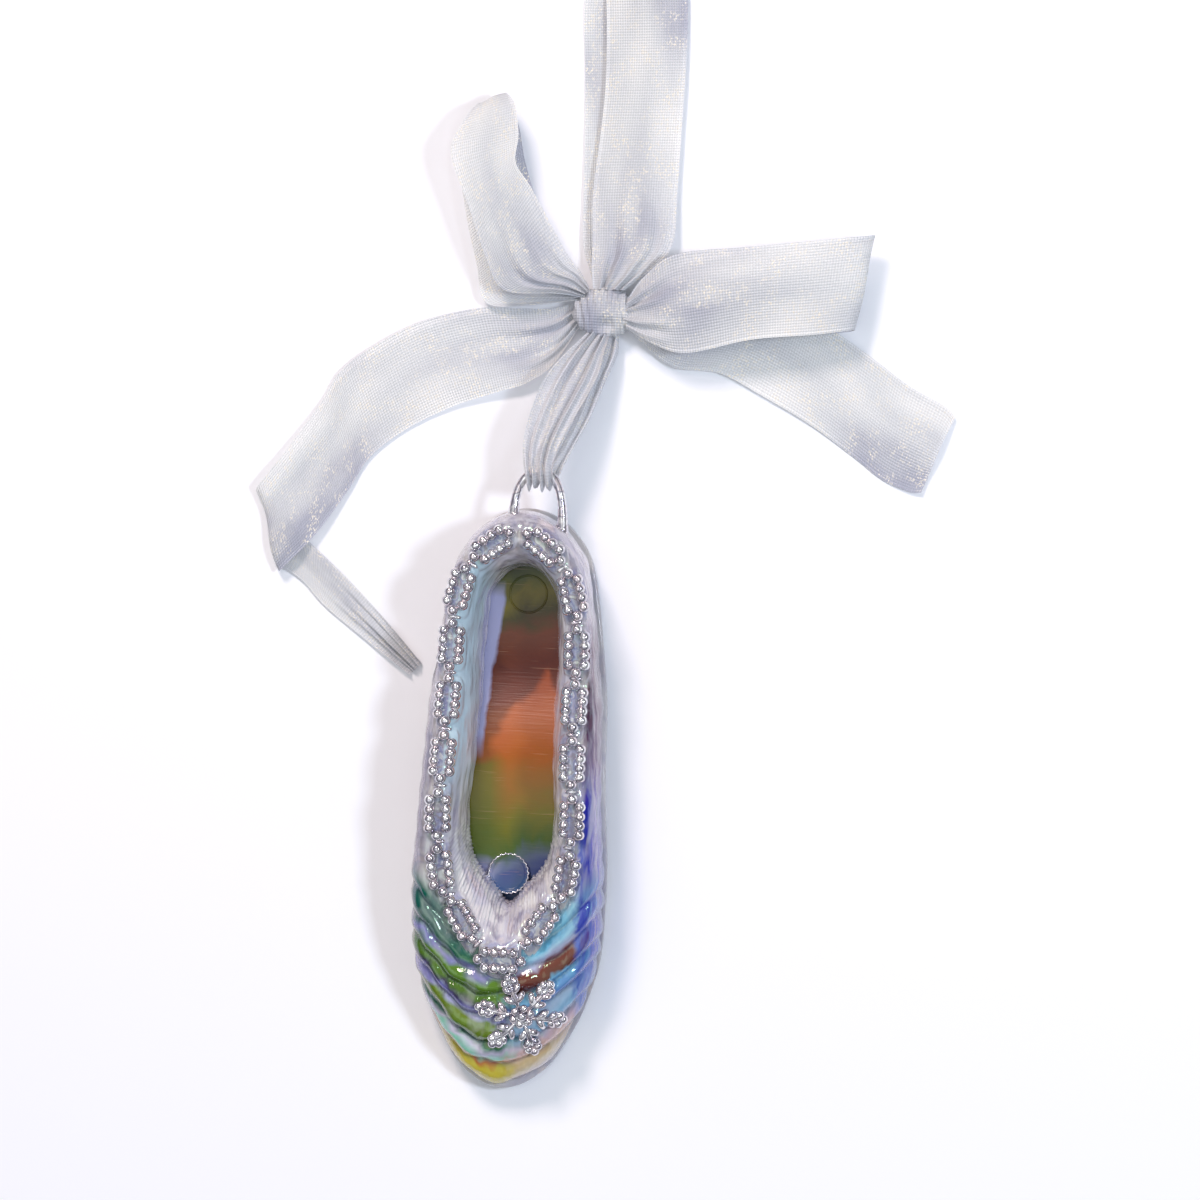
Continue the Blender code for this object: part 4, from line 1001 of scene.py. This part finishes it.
# The ring at the heel
# A loop moulded with the upper, with a round bar: the ribbon goes over it, down through it and
# back under it.
RING_WIDTH = 0.0100
RING_REACH = 0.0070
RING_BAR = 0.0015
RING_HEIGHT = 0.0110
RING_ACROSS = 0.0025
RING_SQUARE = 0.8
RING_ROOT = 0.0014
RING_STATIONS = 64
RING_CORNERS = 20


def heel_ring(material):
    """A round bar along half a superellipse, thicker at both roots."""
    turn = np.linspace(0, np.pi, RING_STATIONS)
    half = (RING_WIDTH - RING_BAR) / 2
    x = RING_ACROSS + half * np.sign(np.cos(turn)) * np.abs(np.cos(turn)) ** RING_SQUARE
    widest = np.argmax(OUTER_LINE[1])
    ends = np.interp(np.abs(x[[0, -1]]), OUTER_LINE[1][:widest], OUTER_LINE[2][:widest]) + RING_ROOT
    root = ends[1] + (ends[0] - ends[1]) * (1 + np.cos(turn)) / 2
    reach = RING_REACH - RING_BAR / 2
    y = HEEL - root + (root + reach) * np.abs(np.sin(turn)) ** RING_SQUARE
    line = np.stack([x, y, np.full(RING_STATIONS, RING_HEIGHT)], axis=1)
    beside = np.cross(unit(np.gradient(line, axis=0)), (0, 0, 1))[:, None]
    corner = turns(RING_CORNERS)[None, :, None]
    circle = beside * np.cos(corner) + np.array((0, 0, 1.0)) * np.sin(corner)
    flare = 1 + 0.5 * (1 - np.sin(turn))[:, None, None] ** 6
    points = line[:, None] + circle * flare * RING_BAR / 2
    last = (RING_STATIONS - 1) * RING_CORNERS
    faces = grid_faces(RING_STATIONS, RING_CORNERS, wrap_columns=True)
    faces += [range(RING_CORNERS), range(last, last + RING_CORNERS)]
    made = surface("heel_ring", points, faces, material)
    close_poles(made)
    return made


ring = heel_ring(silver)
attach(ring, "root")

# The sole
# A separate clear plate welded under the upper. Its top is the floor of the well, where the coat
# goes from olive at the heel through maroon, copper and ochre to green and slate blue.
EDGE_ROUND = 0.0006
SOLE_STATIONS = 220
SOLE_COLUMNS = 40
SOLE_ROUND = 5
# Colours of the floor from (mm along, hex colour), before the copper patch and from there on
FLOOR_BEHIND = [
    (8.0, "#26380C"), (12.0, "#4C5610"), (15.5, "#7C7018"), (18.5, "#4A4210"), (21.5, "#6E3214"),
    (27.0, "#541E12"), (33.0, "#6A2C1A"), (40.0, "#8A4A16"), (43.0, "#6E6210"), (47.0, "#6A6412"),
    (54.0, "#586414"), (58.0, "#50662C"), (60.5, "#8A8EB4"), (64.0, "#4A6890"), (66.5, "#345A80"),
]
FLOOR_AHEAD = [
    (26.0, "#8A3C18"), (31.0, "#A04C26"), (37.0, "#B05C2E"), (42.5, "#A4560E"), (45.5, "#945C0E"),
    (49.0, "#86600C"), (54.0, "#706C0E"), (58.5, "#466024"), (61.5, "#566480"), (63.5, "#3E4C80"),
    (66.5, "#345480"),
]
FLOOR_SPAN = (0.006, 0.069)
COPPER_PEAK = (0.0047, 0.0271)  # across and along
COPPER_SLOPES = (1.39, 2.5)  # of its edge left and right of the peak
COPPER_WAVE = 0.0075
PALE_TAPER = 0.086
PALE_STRIP = "#A9ACD2"
MOULD_LINES = "#E2B28C"
TOP_ROUND = SOLE_THICKNESS / 6


def sole_plate(material):
    """A plate of even thickness on the last's outline, bent to the arch, with both edges rounded."""
    share = (1 - np.cos(np.pi * np.linspace(0.004, 0.996, SOLE_STATIONS))) / 2
    along = (share * LENGTH)[:, None]
    across = (half_width(LAST_OUTLINE, share) * BALL_WIDTH / 2)[:, None]
    low, top = underside(along), underside(along) + SOLE_THICKNESS
    radius = np.minimum(EDGE_ROUND, across / 2)
    span = np.linspace(-1, 1, SOLE_COLUMNS)[None, :]
    turn = np.linspace(0, np.pi / 2, SOLE_ROUND)[None, 1:-1]
    low_x, low_z = across - radius + radius * np.sin(turn), low + radius - radius * np.cos(turn)
    top_x = across - TOP_ROUND + TOP_ROUND * np.cos(turn)
    top_z = top - TOP_ROUND + TOP_ROUND * np.sin(turn)
    bottom, lid = span * (across - radius), -span * (across - TOP_ROUND)
    x = [bottom, low_x, top_x, lid, -top_x[:, ::-1], -low_x[:, ::-1]]
    z = [low + 0 * span, low_z, top_z, top + 0 * span, top_z[:, ::-1], low_z[:, ::-1]]
    x, z = np.concatenate(x, axis=1), np.concatenate(z, axis=1)
    points = np.stack([x, np.broadcast_to(HEEL - along, x.shape), z], axis=-1)
    rows, columns = x.shape
    faces = grid_faces(rows, columns, wrap_columns=True)
    faces += [range(columns), range((rows - 1) * columns, rows * columns)]
    made = surface("sole_plate", points, faces, material)
    close_poles(made)
    return made


def coated_floor():
    """The sole's plastic: coat colours along the floor of the well, milky clear outside it."""
    made, tree = new_material("aurora_coated_sole")
    place = add(tree, "TexCoord").node.outputs["Object"]
    x = add(tree, "SeparateXYZ", place)
    y = x.node.outputs["Y"]
    cloud = add(tree, "TexNoise", place, 150.0, 3.0, None, None, 0.6)
    bend = add(tree, "Math", cloud, 0.0080, -0.0040, operation="MULTIPLY_ADD")
    along = add(tree, "Math", HEEL, y, operation="SUBTRACT")
    slanted = add(tree, "Math", x, 0.25, along, operation="MULTIPLY_ADD")
    wavy = add(tree, "Math", slanted, bend, operation="ADD")
    band = add(tree, "MapRange", wavy, *FLOOR_SPAN)
    behind, ahead = (
        add(tree, "ValToRGB", band, stops=stops_in(FLOOR_SPAN, rows))
        for rows in (FLOOR_BEHIND, FLOOR_AHEAD)
    )
    # The copper patch starts at a peak: its edge runs forward from there on both sides
    past_peak = add(tree, "Math", x, COPPER_PEAK[0], operation="SUBTRACT")
    slope_right = add(tree, "Math", past_peak, COPPER_SLOPES[1], operation="MULTIPLY")
    slope_left = add(tree, "Math", past_peak, -COPPER_SLOPES[0], operation="MULTIPLY")
    edge = add(tree, "Math", slope_left, slope_right, operation="MAXIMUM")
    edge = add(tree, "Math", edge, COPPER_PEAK[1], operation="ADD")
    ragged = add(tree, "Math", cloud, COPPER_WAVE, -COPPER_WAVE / 2, operation="MULTIPLY_ADD")
    into = add(tree, "Math", add(tree, "Math", along, ragged, operation="ADD"), edge, operation="SUBTRACT")
    into = add(tree, "MapRange", into, -0.0010, 0.0022, interpolation_type="SMOOTHSTEP")
    # In front of the patch, the copper and ochre run on along the middle and the right only
    wavy_x = add(tree, "Math", cloud, 0.0016, x, operation="MULTIPLY_ADD")
    to_middle = add(tree, "MapRange", wavy_x, -0.0034, -0.0002)
    ahead_of_it = add(tree, "MapRange", along, 0.0400, 0.0435)
    held_back = add(tree, "Math", ahead_of_it, to_middle, operation="SUBTRACT", use_clamp=True)
    into = add(tree, "Math", into, held_back, operation="SUBTRACT", use_clamp=True)
    floor = add(tree, "Mix", into, behind, ahead, data_type="RGBA")
    # A pale reflection along the left edge
    tapered = add(tree, "Math", along, PALE_TAPER, wavy_x, operation="MULTIPLY_ADD")
    pale = add(tree, "MapRange", tapered, -0.0012, -0.0018)
    pale = add(tree, "Math", pale, add(tree, "MapRange", y, 0.0030, 0.0075), operation="MULTIPLY")
    pale = add(tree, "Math", pale, add(tree, "MapRange", y, 0.0340, 0.0310), operation="MULTIPLY")
    floor = add(tree, "Mix", pale, floor, paint(PALE_STRIP), data_type="RGBA")
    # Fine lines across the floor from the mould
    thin = add(tree, "Mapping", place, None, None, (0.05, 1.0, 1.0))
    scratch = add(tree, "TexNoise", thin, 2600.0, 2.0)
    lines = add(tree, "Math", add(tree, "MapRange", scratch, 0.66, 0.74), 0.16, operation="MULTIPLY")
    floor = add(tree, "Mix", lines, floor, paint(MOULD_LINES), data_type="RGBA")

    half = add(tree, "Math", x, operation="ABSOLUTE")
    inside = add(tree, "MapRange", half, 0.0088, 0.0080)
    for value, start, end in ((y, -0.0245, -0.0215), (y, 0.0385, 0.0370)):
        reach = add(tree, "MapRange", value, start, end)
        inside = add(tree, "Math", inside, reach, operation="MULTIPLY")
    rim = add(tree, "ValToRGB", cloud, stops=CLEAR_TINTS)
    colour = add(tree, "Mix", inside, rim, floor, data_type="RGBA")
    bump = add(tree, "Bump", 0.12, 0.0002, None, scratch)
    clearness = add(tree, "MapRange", inside, 0.0, 1.0, 0.45, 0.05)
    dull = add(tree, "MapRange", inside, 0.0, 1.0, 0.08, 0.25)
    wire(tree, {
        "Base Color": colour, "Normal": bump, "Transmission Weight": clearness, "Roughness": dull,
        "IOR": 1.45,
    })
    return made


floor_of_well = coated_floor()
sole = sole_plate(floor_of_well)
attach(sole, "root")
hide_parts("sole")

# The ejector marks
# Where the mould's pins pushed the plate out: a fine circle near the heel and a raised disc with a
# ribbed edge near the V.
MARK_RADIUS = 0.0032
MARK_SPOTS = {  # across and along
    "heel_mark": (0.0005, 0.0148), "throat_mark": (-0.0004, 0.0630), "throat_rim": (-0.0004, 0.0630),
}
MARK_PROFILES = {  # radius as a share of MARK_RADIUS, height in metres
    "heel_mark": [(1.06, -0.0001), (1.05, 0.00010), (1.00, 0.00016), (0.95, 0.00010), (0.94, -0.0001)],
    "throat_rim": [(1.12, 0.0004), (1.10, 0.0009), (1.06, 0.0010), (1.02, 0.0009), (1.01, 0.0004)],
    "throat_mark": [
        (0.00, -0.0001), (1.16, -0.0001), (1.15, 0.0003), (1.05, 0.0007), (0.98, 0.0008),
        (0.90, 0.0007), (0.86, 0.0005), (0.80, 0.0005), (0.40, 0.0006), (0.00, 0.0006),
    ],
}
MARK_ROUND = 96
MARK_RIBS = 26


def ejector_mark(name, material):
    """A profile turned round its spot on the floor; the rim of the disc is ribbed."""
    across, along = MARK_SPOTS[name]
    profile = np.array(MARK_PROFILES[name])
    turn = turns(MARK_ROUND)[None, :]
    radius, height = profile[:, :1], profile[:, 1:]
    rib = 1 + 0.03 * np.sin(MARK_RIBS * turn) * (radius > 1.0) * (height > 0.0002)
    x = across + MARK_RADIUS * radius * rib * np.cos(turn)
    y = HEEL - along + MARK_RADIUS * radius * rib * np.sin(turn)
    z = underside(np.array(along)) + SOLE_THICKNESS + height + 0 * turn
    points = np.stack([x, y, z], axis=-1)
    faces = grid_faces(len(profile), MARK_ROUND, wrap_rows=True, wrap_columns=True)
    made = surface(name, points, faces, material)
    close_poles(made)
    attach(made, "root")
    return made


ejector_mark("heel_mark", floor_of_well)
ejector_mark("throat_mark", floor_of_well)
ejector_mark("throat_rim", silver)

# The floor and the light
# A plain pale floor under soft studio light: a warm softbox from behind the heel, a cooler one from
# the right and a wide one overhead, and a surround that is white above and darker towards the sides,
# for the plastic to mirror.
FLOOR_SIZE = 4.0
FLOOR_PAINT = "#F7FAFF"
LIGHTS = {  # direction it shines from, distance, size in metres, watts, colour
    "softbox_back": ((-0.35, 0.85, 1.0), 0.9, 0.20, 4.6, "#FFEBE4"),
    "softbox_right": ((0.65, 0.10, 1.0), 0.9, 0.12, 3.2, "#E9F1FF"),
    "softbox_top": ((-0.25, -0.20, 1.0), 1.3, 0.9, 2.2, "#FAFCFF"),
}
SURROUND_BY_HEIGHT = [
    (0.00, "#1E1F28"), (0.14, "#3A3B46"), (0.30, "#A2A5B2"), (0.46, "#4A4C5A"), (0.60, "#E8EAF0"),
    (1.00, "#FFFFFF"),
]
SURROUND_STRENGTH = 0.48

floor_finish, floor_tree = new_material("pale_floor")
wire(floor_tree, {"Base Color": paint(FLOOR_PAINT), "Roughness": 0.9, "Specular IOR Level": 0.1})
half_floor = FLOOR_SIZE / 2
ground = surface(
    "floor",
    [(half_floor * x, half_floor * y, 0) for x, y in ((-1, -1), (1, -1), (1, 1), (-1, 1))],
    [(0, 1, 2, 3)],
    floor_finish,
)
for light_name, (direction, distance, size, watts, code) in LIGHTS.items():
    light = bpy.data.lights.new(light_name, "AREA")
    light.size = size
    light.energy = watts
    light.color = paint(code)[:3]
    lamp = bpy.data.objects.new(light_name, light)
    away = Vector(direction).normalized()
    lamp.location = PICTURE_CENTRE + away * distance
    lamp.rotation_euler = away.to_track_quat("Z", "Y").to_euler()
    bpy.context.scene.collection.objects.link(lamp)

surround = bpy.data.worlds.new("studio")
surround.use_nodes = True
sky = surround.node_tree
gaze = add(sky, "TexCoord")
height = add(sky, "SeparateXYZ", gaze).node.outputs["Z"]
panels = add(sky, "TexNoise", gaze, 2.2, 1.0)
height = add(sky, "Math", panels, 0.5, height, operation="MULTIPLY_ADD")
height = add(sky, "Math", height, 0.25, operation="SUBTRACT")
glow = add(sky, "ValToRGB", height, stops=SURROUND_BY_HEIGHT)
sky.links.new(glow, sky.nodes["Background"].inputs["Color"])
sky.nodes["Background"].inputs["Strength"].default_value = SURROUND_STRENGTH
bpy.context.scene.world = surround
bpy.context.scene.view_settings.view_transform = "Standard"
